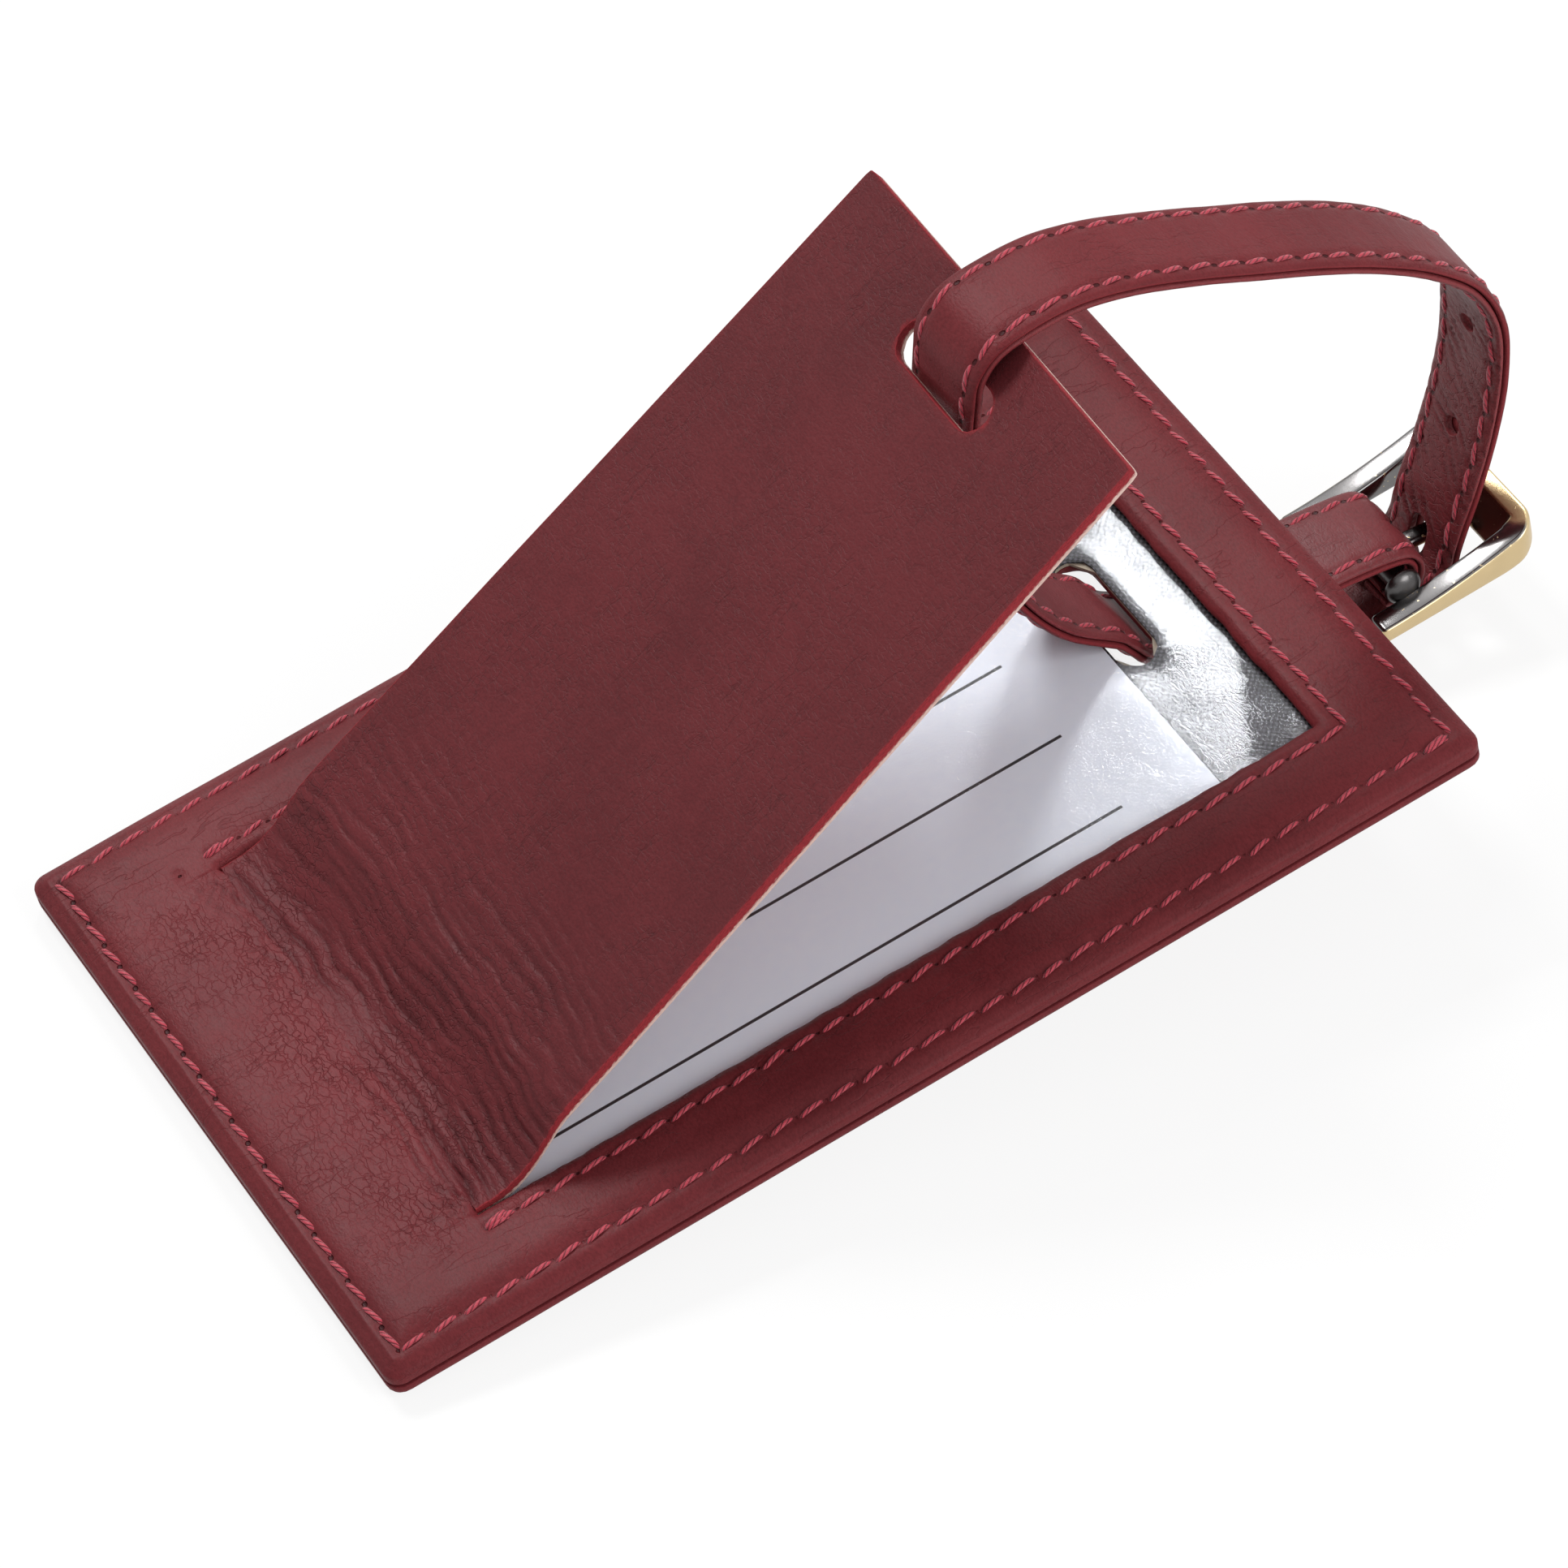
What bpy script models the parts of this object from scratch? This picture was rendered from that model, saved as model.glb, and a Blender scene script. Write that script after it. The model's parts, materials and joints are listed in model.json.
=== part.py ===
"""Leather luggage tag: a sewn tag body with a lifting flap, and a strap loop with a buckle.

The tag frame has its origin at the middle of the back face, +X towards the strap end and +Z
out of the front. A parent empty then lays the tag on the ground as it rests, with its hinge end
down and its strap end propped up by the buckled strap.
"""
from math import atan2, cos, pi, radians, sin

import bmesh
import bpy
import numpy as np
from mathutils import Matrix, Vector

MM = 0.001

# Tag body
TAG_LENGTH = 114.0 * MM
TAG_WIDTH = 70.0 * MM
CORNER_RADIUS = 1.6 * MM
EDGE_ROUNDING = 0.35 * MM
LAYER_GAP = 0.1 * MM
BACK_LEATHER = 1.1 * MM
BOARD_THICKNESS = 0.3 * MM
LINING_THICKNESS = 0.2 * MM
CARD_THICKNESS = 0.2 * MM
FILM_THICKNESS = 0.15 * MM
FRONT_LEATHER = 1.25 * MM
INNER_LAYER_INSET = 1.4 * MM

# Window, flap and card
HINGE_X = -41.5 * MM
HINGE_CLEARANCE = 0.95 * MM
WINDOW_END_X = 45.9 * MM
WINDOW_HALF_WIDTH = 24.3 * MM
FLAP_GAP = 0.3 * MM
FLAP_LIFT = radians(28.5)
FLAP_ROOT = 0.6 * MM
FILM_MARGIN = 4.6 * MM
CARD_LENGTH = 80.0 * MM
CARD_HALF_WIDTH = 24.6 * MM
CARD_END_CLEARANCE = 0.3 * MM

# Slots that the strap goes through
BODY_SLOT_X = 38.4 * MM
BODY_SLOT_WIDTH = 4.2 * MM
FLAP_SLOT_REACH = 80.0 * MM
FLAP_SLOT_WIDTH = 4.4 * MM
SLOT_LENGTH = 15.0 * MM

# Seams
SEAM_INSET = 2.2 * MM
WINDOW_SEAM_OFFSET = 2.05 * MM
THREAD_RADIUS = 0.2 * MM
SEAM_GROOVE_RADIUS = 0.42 * MM
WINDOW_SEAM_TAIL = 0.6 * MM

# Strap
STRAP_WIDTH = 10.0 * MM
STRAP_THICKNESS = 1.8 * MM
PLY_GAP = 0.1 * MM
STRAP_EDGE_ROUNDING = 0.3 * MM
STRAP_SEAM_INSET = 1.2 * MM
STRAP_THREAD_RADIUS = 0.17 * MM
STRAP_THREAD_DEPTH = 0.2 * MM
STRAP_GROOVE_DEPTH = 0.57 * MM
STRAP_GROOVE_HALF_WIDTH = 0.4 * MM
STRAP_THREAD_END = 1.5 * MM
SLOT_LEAN = radians(30.0)
LOOP_RATIO = 1.7
HOLE_RADIUS = 0.95 * MM
HOLE_PITCH = 12.8 * MM
HOLES_ABOVE_PRONG = 2
HOLES_BELOW_PRONG = 1
USED_HOLE_HALF_LENGTH = 2.2 * MM
USED_HOLE_HALF_WIDTH = 1.25 * MM

# Buckle, measured from the middle of its heel bar
BAR_X = 66.0 * MM
BAR_Z = -9.7 * MM
BAR_RADIUS = 1.05 * MM
COLLAR_RADIUS = 1.9 * MM
COLLAR_WIDTH = 0.8 * MM
HOOK_RADIUS = 2.5 * MM
FRAME_HALF_WIDTH = 9.0 * MM
LEG_WIDTH = 2.5 * MM
FRAME_END = 13.6 * MM
HEEL_END = -4.4 * MM
END_BAR_WIDTH = 2.8 * MM
FRAME_LOW = -2.25 * MM
HEEL_HIGH = -0.5 * MM
TOE_START = 9.0 * MM
TOE_BOW = 0.073 / MM
HIGH_BOW = 0.0085 / MM
FRAME_ROUNDING = 0.45 * MM
BAR_SOCKET_DEPTH = 1.5 * MM
PIECE_GAP = 0.3 * MM
PRONG_WIDTH = 1.8 * MM
PRONG_HEIGHT = 1.3 * MM
PRONG_TOP = -0.55 * MM
PRONG_REACH = 12.9 * MM
PRONG_DROP = radians(8.0)
PRONG_RING_RADIUS = 2.1 * MM
PRONG_SLOT_WIDTH = 2.6 * MM

# Heights of the layers, from the back face up
BOARD_Z = BACK_LEATHER + LAYER_GAP
LINING_Z = BOARD_Z + BOARD_THICKNESS + LAYER_GAP
CARD_Z = LINING_Z + LINING_THICKNESS + LAYER_GAP
FILM_Z = CARD_Z + CARD_THICKNESS + LAYER_GAP
FRONT_Z = FILM_Z + FILM_THICKNESS + 1.5 * LAYER_GAP
TAG_THICKNESS = FRONT_Z + FRONT_LEATHER
HINGE_Z = FRONT_Z + FRONT_LEATHER / 2
SLOT_MIDDLE = Vector((BODY_SLOT_X, (FILM_Z + FILM_THICKNESS) / 2))
BAR_CENTRE = Vector((BAR_X, BAR_Z))

for old in list(bpy.data.objects):
    bpy.data.objects.remove(old, do_unlink=True)

parts = bpy.data.collections.new("luggage_tag")
cutters = bpy.data.collections.new("cutters")
bpy.context.scene.collection.children.link(parts)
bpy.context.scene.collection.children.link(cutters)


def empty(name, place, parent=None, turn_y=0.0):
    """An axis that pieces are parented to, placed in its parent's frame."""
    axis = bpy.data.objects.new(name, None)
    axis.location = place
    axis.rotation_euler.y = turn_y
    axis.parent = parent
    parts.objects.link(axis)
    return axis


def mesh_of(curve_object, collection):
    """The curve's mesh, welded into one closed body, in a new object of the same name."""
    bpy.context.view_layer.update()
    graph = bpy.context.evaluated_depsgraph_get()
    mesh = bpy.data.meshes.new_from_object(curve_object.evaluated_get(graph))
    name = curve_object.name
    place = curve_object.matrix_world.copy()
    bpy.data.objects.remove(curve_object, do_unlink=True)
    solid = bmesh.new()
    solid.from_mesh(mesh)
    bmesh.ops.remove_doubles(solid, verts=solid.verts, dist=1e-6)
    solid.transform(place)
    bmesh.ops.recalc_face_normals(solid, faces=solid.faces)
    solid.to_mesh(mesh)
    solid.free()
    piece = bpy.data.objects.new(name, mesh)
    collection.objects.link(piece)
    return piece


def spline_object(name, outlines, closed=True):
    """A curve object with one straight-sided spline for each outline."""
    curve = bpy.data.curves.new(name, "CURVE")
    for outline in outlines:
        spline = curve.splines.new("POLY")
        spline.points.add(len(outline) - 1)
        for point, place in zip(spline.points, outline):
            point.co = (place[0], place[1], place[2] if len(place) > 2 else 0.0, 1.0)
        spline.use_cyclic_u = closed
    piece = bpy.data.objects.new(name, curve)
    bpy.context.scene.collection.objects.link(piece)
    return piece


UPRIGHT = Matrix.Rotation(pi / 2, 4, "X")


def plate(name, outlines, low, high, upright=False, collection=parts):
    """A flat outline with holes, extruded from low to high along Z, or along -Y when upright."""
    flat = spline_object(name, outlines)
    flat.data.dimensions = "2D"
    flat.data.fill_mode = "BOTH"
    flat.data.extrude = (high - low) / 2
    flat.matrix_world = Matrix.Translation((0, 0, (low + high) / 2))
    if upright:
        flat.matrix_world = UPRIGHT @ flat.matrix_world
    piece = mesh_of(flat, collection)
    piece.data.shade_flat()
    return piece


def tube(name, points, radius, closed=False, resolution=0, collection=parts):
    """A round wire along a list of points."""
    wire = spline_object(name, [points], closed)
    wire.data.dimensions = "3D"
    wire.data.bevel_depth = radius
    wire.data.bevel_resolution = resolution
    wire.data.use_fill_caps = not closed
    return mesh_of(wire, collection)


def round_corners(x_low, x_high, y_low, y_high, radius, steps=5):
    """A rectangle with quarter-circle corners."""
    corners = (
        (x_high - radius, y_high - radius, 0.0),
        (x_low + radius, y_high - radius, pi / 2),
        (x_low + radius, y_low + radius, pi),
        (x_high - radius, y_low + radius, 3 * pi / 2),
    )
    outline = []
    for x, y, start in corners:
        for step in range(steps + 1):
            angle = start + step * pi / 2 / steps
            outline.append((x + radius * cos(angle), y + radius * sin(angle)))
    return outline


def rectangle(x_low, x_high, y_low, y_high):
    """A rectangle with sharp corners."""
    return [(x_low, y_low), (x_high, y_low), (x_high, y_high), (x_low, y_high)]


def circle(radius, sides):
    """A round outline."""
    angles = [2 * pi * side / sides for side in range(sides)]
    return [(radius * cos(angle), radius * sin(angle)) for angle in angles]


def slot(x_middle, width):
    """A strap slot across the tag, with round ends."""
    return round_corners(
        x_middle - width / 2, x_middle + width / 2, -SLOT_LENGTH / 2, SLOT_LENGTH / 2, 0.999 * width / 2
    )


def bevel(piece, width, segments=2):
    """Rounded edges."""
    rounding = piece.modifiers.new("rounded_edges", "BEVEL")
    rounding.width = width
    rounding.segments = segments
    rounding.limit_method = "ANGLE"
    rounding.angle_limit = radians(40)
    rounding.use_clamp_overlap = True


def cut(piece, cutter):
    """Takes the cutter's shape out of a piece."""
    difference = piece.modifiers.new("cut_" + cutter.name, "BOOLEAN")
    difference.operation = "DIFFERENCE"
    difference.solver = "EXACT"
    difference.object = cutter
    cutter.hide_render = True
    cutter.display_type = "WIRE"


def dress(piece, parent, colour, roughness, metallic=0.0):
    """Gives a piece its own plain Principled material and hangs it on what carries it."""
    material = bpy.data.materials.new(piece.name)
    material.diffuse_color = (*colour, 1.0)
    material.use_nodes = True
    shader = material.node_tree.nodes["Principled BSDF"]
    shader.inputs["Base Color"].default_value = (*colour, 1.0)
    shader.inputs["Roughness"].default_value = roughness
    shader.inputs["Metallic"].default_value = metallic
    piece.data.materials.clear()
    piece.data.materials.append(material)
    piece.data.set_sharp_from_angle(angle=radians(35))
    piece.parent = parent


# Colours
OXBLOOD = (0.165, 0.042, 0.045)
DARK_OXBLOOD = (0.14, 0.038, 0.042)
STRAP_OXBLOOD = (0.17, 0.045, 0.05)
CRIMSON = (0.38, 0.05, 0.08)
CLEAR = (0.85, 0.87, 0.9)
CARD_WHITE = (0.62, 0.63, 0.68)
LINING_BLACK = (0.03, 0.03, 0.035)
BOARD_GREY = (0.32, 0.28, 0.23)
PALE_GOLD = (0.66, 0.47, 0.22)
DARK_NICKEL = (0.2, 0.2, 0.21)

# Axes
rest = empty("rest_on_ground", (0, 0, 0))
flap_axis = empty("flap_hinge_axis", (HINGE_X, 0, HINGE_Z), rest, -FLAP_LIFT)
loop_axis = empty("loop_axis", (SLOT_MIDDLE.x, 0, SLOT_MIDDLE.y), rest)
bar_axis = empty("buckle_bar_axis", (BAR_X - SLOT_MIDDLE.x, 0, BAR_Z - SLOT_MIDDLE.y), loop_axis)


def hang_on_loop(piece):
    """Hangs a piece that is drawn in the tag's frame on the axis that the loop swings about."""
    piece.parent = loop_axis
    piece.location -= loop_axis.location


# Tag body
HALF_LENGTH = TAG_LENGTH / 2
HALF_WIDTH = TAG_WIDTH / 2
SEAM_X = HALF_LENGTH - SEAM_INSET
SEAM_Y = HALF_WIDTH - SEAM_INSET
tag_outline = round_corners(-HALF_LENGTH, HALF_LENGTH, -HALF_WIDTH, HALF_WIDTH, CORNER_RADIUS)
inner_outline = round_corners(
    INNER_LAYER_INSET - HALF_LENGTH, HALF_LENGTH - INNER_LAYER_INSET,
    INNER_LAYER_INSET - HALF_WIDTH, HALF_WIDTH - INNER_LAYER_INSET, CORNER_RADIUS,
)
body_slot = slot(BODY_SLOT_X, BODY_SLOT_WIDTH)
window = rectangle(HINGE_X - HINGE_CLEARANCE, WINDOW_END_X, -WINDOW_HALF_WIDTH, WINDOW_HALF_WIDTH)


def seam_path(height):
    """The seam all round the tag at one height."""
    ring = round_corners(-SEAM_X, SEAM_X, -SEAM_Y, SEAM_Y, CORNER_RADIUS, 3)
    return [(x, y, height) for x, y in ring]


def window_seam_path(height):
    """The seam round three sides of the window, open at the hinge end."""
    side = WINDOW_HALF_WIDTH + WINDOW_SEAM_OFFSET
    end = WINDOW_END_X + WINDOW_SEAM_OFFSET
    start = HINGE_X - WINDOW_SEAM_TAIL
    return [(start, -side, height), (end, -side, height), (end, side, height), (start, side, height)]


FRONT_THREAD_Z = TAG_THICKNESS - THREAD_RADIUS
BACK_THREAD_Z = THREAD_RADIUS

front_panel = plate("front_panel", [tag_outline, window], FRONT_Z, TAG_THICKNESS)
bevel(front_panel, EDGE_ROUNDING)
front_groove = tube("front_groove", seam_path(FRONT_THREAD_Z), SEAM_GROOVE_RADIUS, True, 1, cutters)
window_groove_path = window_seam_path(FRONT_THREAD_Z)
window_groove_path[0] = (window_groove_path[0][0] - PIECE_GAP, *window_groove_path[0][1:])
window_groove_path[-1] = (window_groove_path[-1][0] - PIECE_GAP, *window_groove_path[-1][1:])
window_groove = tube("window_groove", window_groove_path, SEAM_GROOVE_RADIUS, False, 1, cutters)
cut(front_panel, front_groove)
cut(front_panel, window_groove)

back_panel = plate("back_panel", [tag_outline, body_slot], 0.0, BACK_LEATHER)
bevel(back_panel, EDGE_ROUNDING)
back_groove = tube("back_groove", seam_path(BACK_THREAD_Z), SEAM_GROOVE_RADIUS, True, 1, cutters)
cut(back_panel, back_groove)
for groove in (front_groove, window_groove, back_groove):
    groove.parent = rest

stiffener_board = plate("stiffener_board", [inner_outline, body_slot], BOARD_Z, BOARD_Z + BOARD_THICKNESS)
lining_cloth = plate("lining_cloth", [inner_outline, body_slot], LINING_Z, LINING_Z + LINING_THICKNESS)
film_outline = rectangle(
    HINGE_X - FILM_MARGIN, WINDOW_END_X + FILM_MARGIN,
    -WINDOW_HALF_WIDTH - FILM_MARGIN, WINDOW_HALF_WIDTH + FILM_MARGIN,
)
window_film = plate("window_film", [film_outline, body_slot], FILM_Z, FILM_Z + FILM_THICKNESS)
card_end = BODY_SLOT_X - BODY_SLOT_WIDTH / 2 - CARD_END_CLEARANCE
card_outline = rectangle(card_end - CARD_LENGTH, card_end, -CARD_HALF_WIDTH, CARD_HALF_WIDTH)
id_card = plate("id_card", [card_outline], CARD_Z, CARD_Z + CARD_THICKNESS)

perimeter_needle = tube("perimeter_needle_thread", seam_path(FRONT_THREAD_Z), THREAD_RADIUS, True)
perimeter_bobbin = tube("perimeter_bobbin_thread", seam_path(BACK_THREAD_Z), THREAD_RADIUS, True)
window_needle = tube("window_needle_thread", window_seam_path(FRONT_THREAD_Z), THREAD_RADIUS)

dress(front_panel, rest, OXBLOOD, 0.5)
dress(back_panel, rest, OXBLOOD, 0.52)
dress(stiffener_board, rest, BOARD_GREY, 0.9)
dress(lining_cloth, rest, LINING_BLACK, 0.85)
dress(window_film, rest, CLEAR, 0.08)
dress(id_card, rest, CARD_WHITE, 0.7)
for thread in (perimeter_needle, perimeter_bobbin, window_needle):
    dress(thread, rest, CRIMSON, 0.6)

# Flap, flat about its hinge axis and lifted by it
FLAP_LENGTH = WINDOW_END_X - FLAP_GAP - HINGE_X
flap_half_width = WINDOW_HALF_WIDTH - FLAP_GAP
flap_outline = rectangle(-FLAP_ROOT, FLAP_LENGTH, -flap_half_width, flap_half_width)
flap = plate(
    "flap", [flap_outline, slot(FLAP_SLOT_REACH, FLAP_SLOT_WIDTH)], -FRONT_LEATHER / 2, FRONT_LEATHER / 2
)
bevel(flap, EDGE_ROUNDING)
dress(flap, flap_axis, DARK_OXBLOOD, 0.5)


# Strap route, in the tag's XZ plane
def run_between_slots(lift):
    """Where the strap lies so that the flap at this lift slides along it as the loop swings.

    The flap's slot moves on a circle round the hinge. The loop turns about the body slot by
    LOOP_RATIO times the flap's turn, so the slot's place is turned back by that much.
    """
    flap_slot = Vector((HINGE_X + FLAP_SLOT_REACH * cos(lift), HINGE_Z + FLAP_SLOT_REACH * sin(lift)))
    turned_back = Matrix.Rotation(LOOP_RATIO * (FLAP_LIFT - lift), 2)
    return SLOT_MIDDLE + turned_back @ (flap_slot - SLOT_MIDDLE)


def strap_route():
    """Points along the middle of the strap, from its hooked end to the tip of its tail."""
    hook_angles = (-125, -95, -60, -25, 10, 45, 75)
    hook = [BAR_CENTRE + HOOK_RADIUS * Vector((cos(radians(a)), sin(radians(a)))) for a in hook_angles]
    under_tag = [(62.0, -6.25), (56.0, -5.6), (50.0, -5.0), (45.5, -4.4), (41.9, -2.9)]
    lean = Vector((-sin(SLOT_LEAN), cos(SLOT_LEAN)))
    through_slot = [SLOT_MIDDLE + reach * MM * lean for reach in (-2.6, -1.2, 0.2, 1.5)]
    to_flap = [run_between_slots(radians(lift)) for lift in (4.5, 9.0, 14.0, 19.0, 24.0)]
    arch = [
        (28.6, 41.9), (29.5, 44.6), (31.6, 46.5), (35.6, 47.2), (40.4, 46.9), (46.0, 45.0), (52.0, 41.9),
        (58.0, 38.4), (64.4, 34.6), (70.0, 30.7), (75.0, 26.3), (79.0, 21.1), (80.7, 15.2),
    ]
    tail = [
        (80.1, 8.7), (78.4, 1.5), (76.2, -4.7), (74.6, -8.2), (73.6, -10.4), (72.8, -12.2), (71.0, -13.8),
        (67.5, -14.8), (62.0, -15.2), (56.0, -14.8), (49.5, -13.9),
    ]
    shown = [Vector(point) * MM for point in under_tag]
    return hook + shown + through_slot + to_flap + [Vector(point) * MM for point in arch + tail]


def smooth_curve(points, steps=16):
    """A centripetal Catmull-Rom curve through the points, as an array of closely spaced places."""
    knots = np.array(points)
    padded = np.vstack((2 * knots[0] - knots[1], knots, 2 * knots[-1] - knots[-2]))
    pieces = []
    for start in range(len(knots) - 1):
        p0, p1, p2, p3 = padded[start:start + 4]
        t1 = np.linalg.norm(p1 - p0) ** 0.5
        t2 = t1 + np.linalg.norm(p2 - p1) ** 0.5
        t3 = t2 + np.linalg.norm(p3 - p2) ** 0.5
        t = np.linspace(t1, t2, steps, endpoint=False)[:, None]
        a1 = ((t1 - t) * p0 + t * p1) / t1
        a2 = ((t2 - t) * p1 + (t - t1) * p2) / (t2 - t1)
        a3 = ((t3 - t) * p2 + (t - t2) * p3) / (t3 - t2)
        b1 = ((t2 - t) * a1 + t * a2) / t2
        b2 = ((t3 - t) * a2 + (t - t1) * a3) / (t3 - t1)
        pieces.append(((t2 - t) * b1 + (t - t1) * b2) / (t2 - t1))
    return np.vstack(pieces + [knots[-1:]])


LONGEST_STEP = 3.6 * MM
LARGEST_TURN = radians(13)


def thinned(curve):
    """The curve's places that keep its shape: close together in bends, far apart on straights."""
    ways = np.diff(curve, axis=0)
    angles = np.unwrap(np.arctan2(ways[:, 1], ways[:, 0]))
    kept = [0]
    length = 0.0
    for index in range(1, len(curve) - 1):
        length += np.linalg.norm(ways[index - 1])
        if length > LONGEST_STEP or abs(angles[index] - angles[kept[-1]]) > LARGEST_TURN:
            kept.append(index)
            length = 0.0
    return curve[kept + [len(curve) - 1]]


route = thinned(smooth_curve(strap_route()))
route_steps = np.linalg.norm(np.diff(route, axis=0), axis=1)
route_length = np.concatenate(([0.0], np.cumsum(route_steps)))
tangents = np.gradient(route, axis=0)
tangents /= np.linalg.norm(tangents, axis=1)[:, None]
normals = np.stack((-tangents[:, 1], tangents[:, 0]), axis=1)


def strap_ply(name, side):
    """One leather layer of the strap: its section, with two seam grooves, carried along the route.

    side is 1 for the layer outside on the arch, and -1 for the layer inside it.
    """
    inner = PLY_GAP / 2
    outer = STRAP_THICKNESS / 2
    half = STRAP_WIDTH / 2
    seam = half - STRAP_SEAM_INSET
    groove = STRAP_GROOVE_HALF_WIDTH
    bottom = outer - STRAP_GROOVE_DEPTH
    right_half = [
        (half, inner), (half, outer - STRAP_EDGE_ROUNDING), (half - STRAP_EDGE_ROUNDING, outer),
        (seam + groove, outer), (seam, bottom), (seam - groove, outer),
    ]
    left_half = [(-across, height) for across, height in reversed(right_half)]
    section = spline_object(name + "_section", [[(-side * h, a) for a, h in right_half + left_half]])
    section.data.dimensions = "2D"
    sweep = spline_object(name, [[(x, z, 0.0) for x, z in route]], False)
    sweep.data.dimensions = "3D"
    sweep.data.twist_mode = "Z_UP"
    sweep.data.bevel_mode = "OBJECT"
    sweep.data.bevel_object = section
    sweep.data.use_fill_caps = True
    sweep.matrix_world = UPRIGHT
    ply = mesh_of(sweep, parts)
    bpy.data.objects.remove(section, do_unlink=True)
    return ply


def strap_thread(name, side, row):
    """One thread of a strap seam, sunk in its groove on one face of the strap."""
    depth = side * (STRAP_THICKNESS / 2 - STRAP_THREAD_DEPTH)
    places = route + depth * normals
    keep = (route_length > STRAP_THREAD_END) & (route_length < route_length[-1] - STRAP_THREAD_END)
    across = row * (STRAP_WIDTH / 2 - STRAP_SEAM_INSET)
    return tube(name, [(x, across, z) for x, z in places[keep]], STRAP_THREAD_RADIUS)


def across_strap(length_along):
    """A frame on the strap's middle at one length: its place and the turn of its tangent."""
    x = np.interp(length_along, route_length, route[:, 0])
    z = np.interp(length_along, route_length, route[:, 1])
    tangent_x = np.interp(length_along, route_length, tangents[:, 0])
    tangent_z = np.interp(length_along, route_length, tangents[:, 1])
    return Vector((x, 0, z)), atan2(tangent_z, tangent_x)


def strap_cutter(name, length_along, half_length, half_width):
    """A round-ended punch that goes square through both layers of the strap."""
    place, turn = across_strap(length_along)
    outline = round_corners(-half_length, half_length, -half_width, half_width, 0.999 * half_width, 4)
    punch = plate(name, [outline], -STRAP_THICKNESS, STRAP_THICKNESS, False, cutters)
    punch.location = place
    punch.rotation_euler.y = -turn
    return punch


PRONG_MIDDLE = PRONG_TOP - PRONG_HEIGHT / 2


def length_at_prong():
    """The length along the strap at which the tail comes down past the prong."""
    past_bar = (route[:, 0] > BAR_X + HOOK_RADIUS) & (route[:, 1] < TAG_THICKNESS)
    falling = past_bar & (tangents[:, 1] < 0)
    across = route[falling] - np.array(BAR_CENTRE)
    off_prong = across[:, 0] * sin(PRONG_DROP) + across[:, 1] * cos(PRONG_DROP) - PRONG_MIDDLE
    return float(np.interp(0.0, -off_prong, route_length[falling]))


prong_length_along = length_at_prong()

strap_outer = strap_ply("strap_outer_layer", 1)
strap_inner = strap_ply("strap_inner_layer", -1)
punches = [strap_cutter("used_hole", prong_length_along, USED_HOLE_HALF_LENGTH, USED_HOLE_HALF_WIDTH)]
for number in range(-HOLES_ABOVE_PRONG, HOLES_BELOW_PRONG + 1):
    if number:
        hole_name = "punched_hole_" + str(number + HOLES_ABOVE_PRONG)
        punches.append(
            strap_cutter(hole_name, prong_length_along + number * HOLE_PITCH, HOLE_RADIUS, HOLE_RADIUS)
        )

# The hooked end is slit where the prong's ring sits round the bar
HOOK_OUTSIDE = HOOK_RADIUS + STRAP_THICKNESS
SLIT_TOP = 40
SLIT_END = -170
slit_angles = [radians(SLIT_TOP + (SLIT_END - SLIT_TOP) * step / 8) for step in range(9)]
slit_wedge = [(HOOK_OUTSIDE * cos(a), HOOK_OUTSIDE * sin(a)) for a in slit_angles] + [(0.0, 0.0)]
prong_slit = plate("prong_slit", [slit_wedge], -PRONG_SLOT_WIDTH / 2, PRONG_SLOT_WIDTH / 2, True, cutters)
RING_ROOM = PRONG_RING_RADIUS + PIECE_GAP
ring_slit = plate(
    "ring_slit", [circle(RING_ROOM, 16)], -PRONG_SLOT_WIDTH / 2, PRONG_SLOT_WIDTH / 2, True, cutters
)
for slit in (prong_slit, ring_slit):
    slit.parent = bar_axis
for punch in punches:
    hang_on_loop(punch)

for ply, leather in ((strap_outer, STRAP_OXBLOOD), (strap_inner, DARK_OXBLOOD)):
    for cutter in punches + [prong_slit]:
        cut(ply, cutter)
    dress(ply, loop_axis, leather, 0.5)
    hang_on_loop(ply)
cut(strap_outer, ring_slit)
for face, side in (("outer", 1), ("inner", -1)):
    for edge, row in (("near", -1), ("far", 1)):
        thread = strap_thread("strap_" + face + "_thread_" + edge, side, row)
        dress(thread, loop_axis, CRIMSON, 0.6)
        hang_on_loop(thread)


# Buckle, built about its heel bar
def frame_side():
    """The side view of the frame: flat below with a raised toe, and thicker from the heel to the end bar."""
    toe_lengths = [TOE_START + (FRAME_END - TOE_START) * step / 4 for step in range(5)]
    lengths = [FRAME_END + (HEEL_END - FRAME_END) * step / 8 for step in range(9)]
    low = [(HEEL_END, FRAME_LOW)] + [(u, FRAME_LOW + TOE_BOW * (u - TOE_START) ** 2) for u in toe_lengths]
    high = [(u, HEEL_HIGH + HIGH_BOW * (u - HEEL_END) ** 2) for u in lengths]
    return low + high


buckle_frame = plate("buckle_frame", [frame_side()], -FRAME_HALF_WIDTH, FRAME_HALF_WIDTH, True)
LEG_INSIDE = FRAME_HALF_WIDTH - LEG_WIDTH
BLOCK_HEIGHT = 10.0 * MM
frame_opening = plate(
    "frame_opening", [rectangle(2 * HEEL_END, FRAME_END - END_BAR_WIDTH, -LEG_INSIDE, LEG_INSIDE)],
    -BLOCK_HEIGHT, BLOCK_HEIGHT, False, cutters,
)
socket_reach = LEG_INSIDE + BAR_SOCKET_DEPTH
SOCKET_RADIUS = BAR_RADIUS + PIECE_GAP
socket_circle = circle(SOCKET_RADIUS, 20)
bar_sockets = plate("bar_sockets", [socket_circle], -socket_reach, socket_reach, True, cutters)
cut(buckle_frame, frame_opening)
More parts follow.
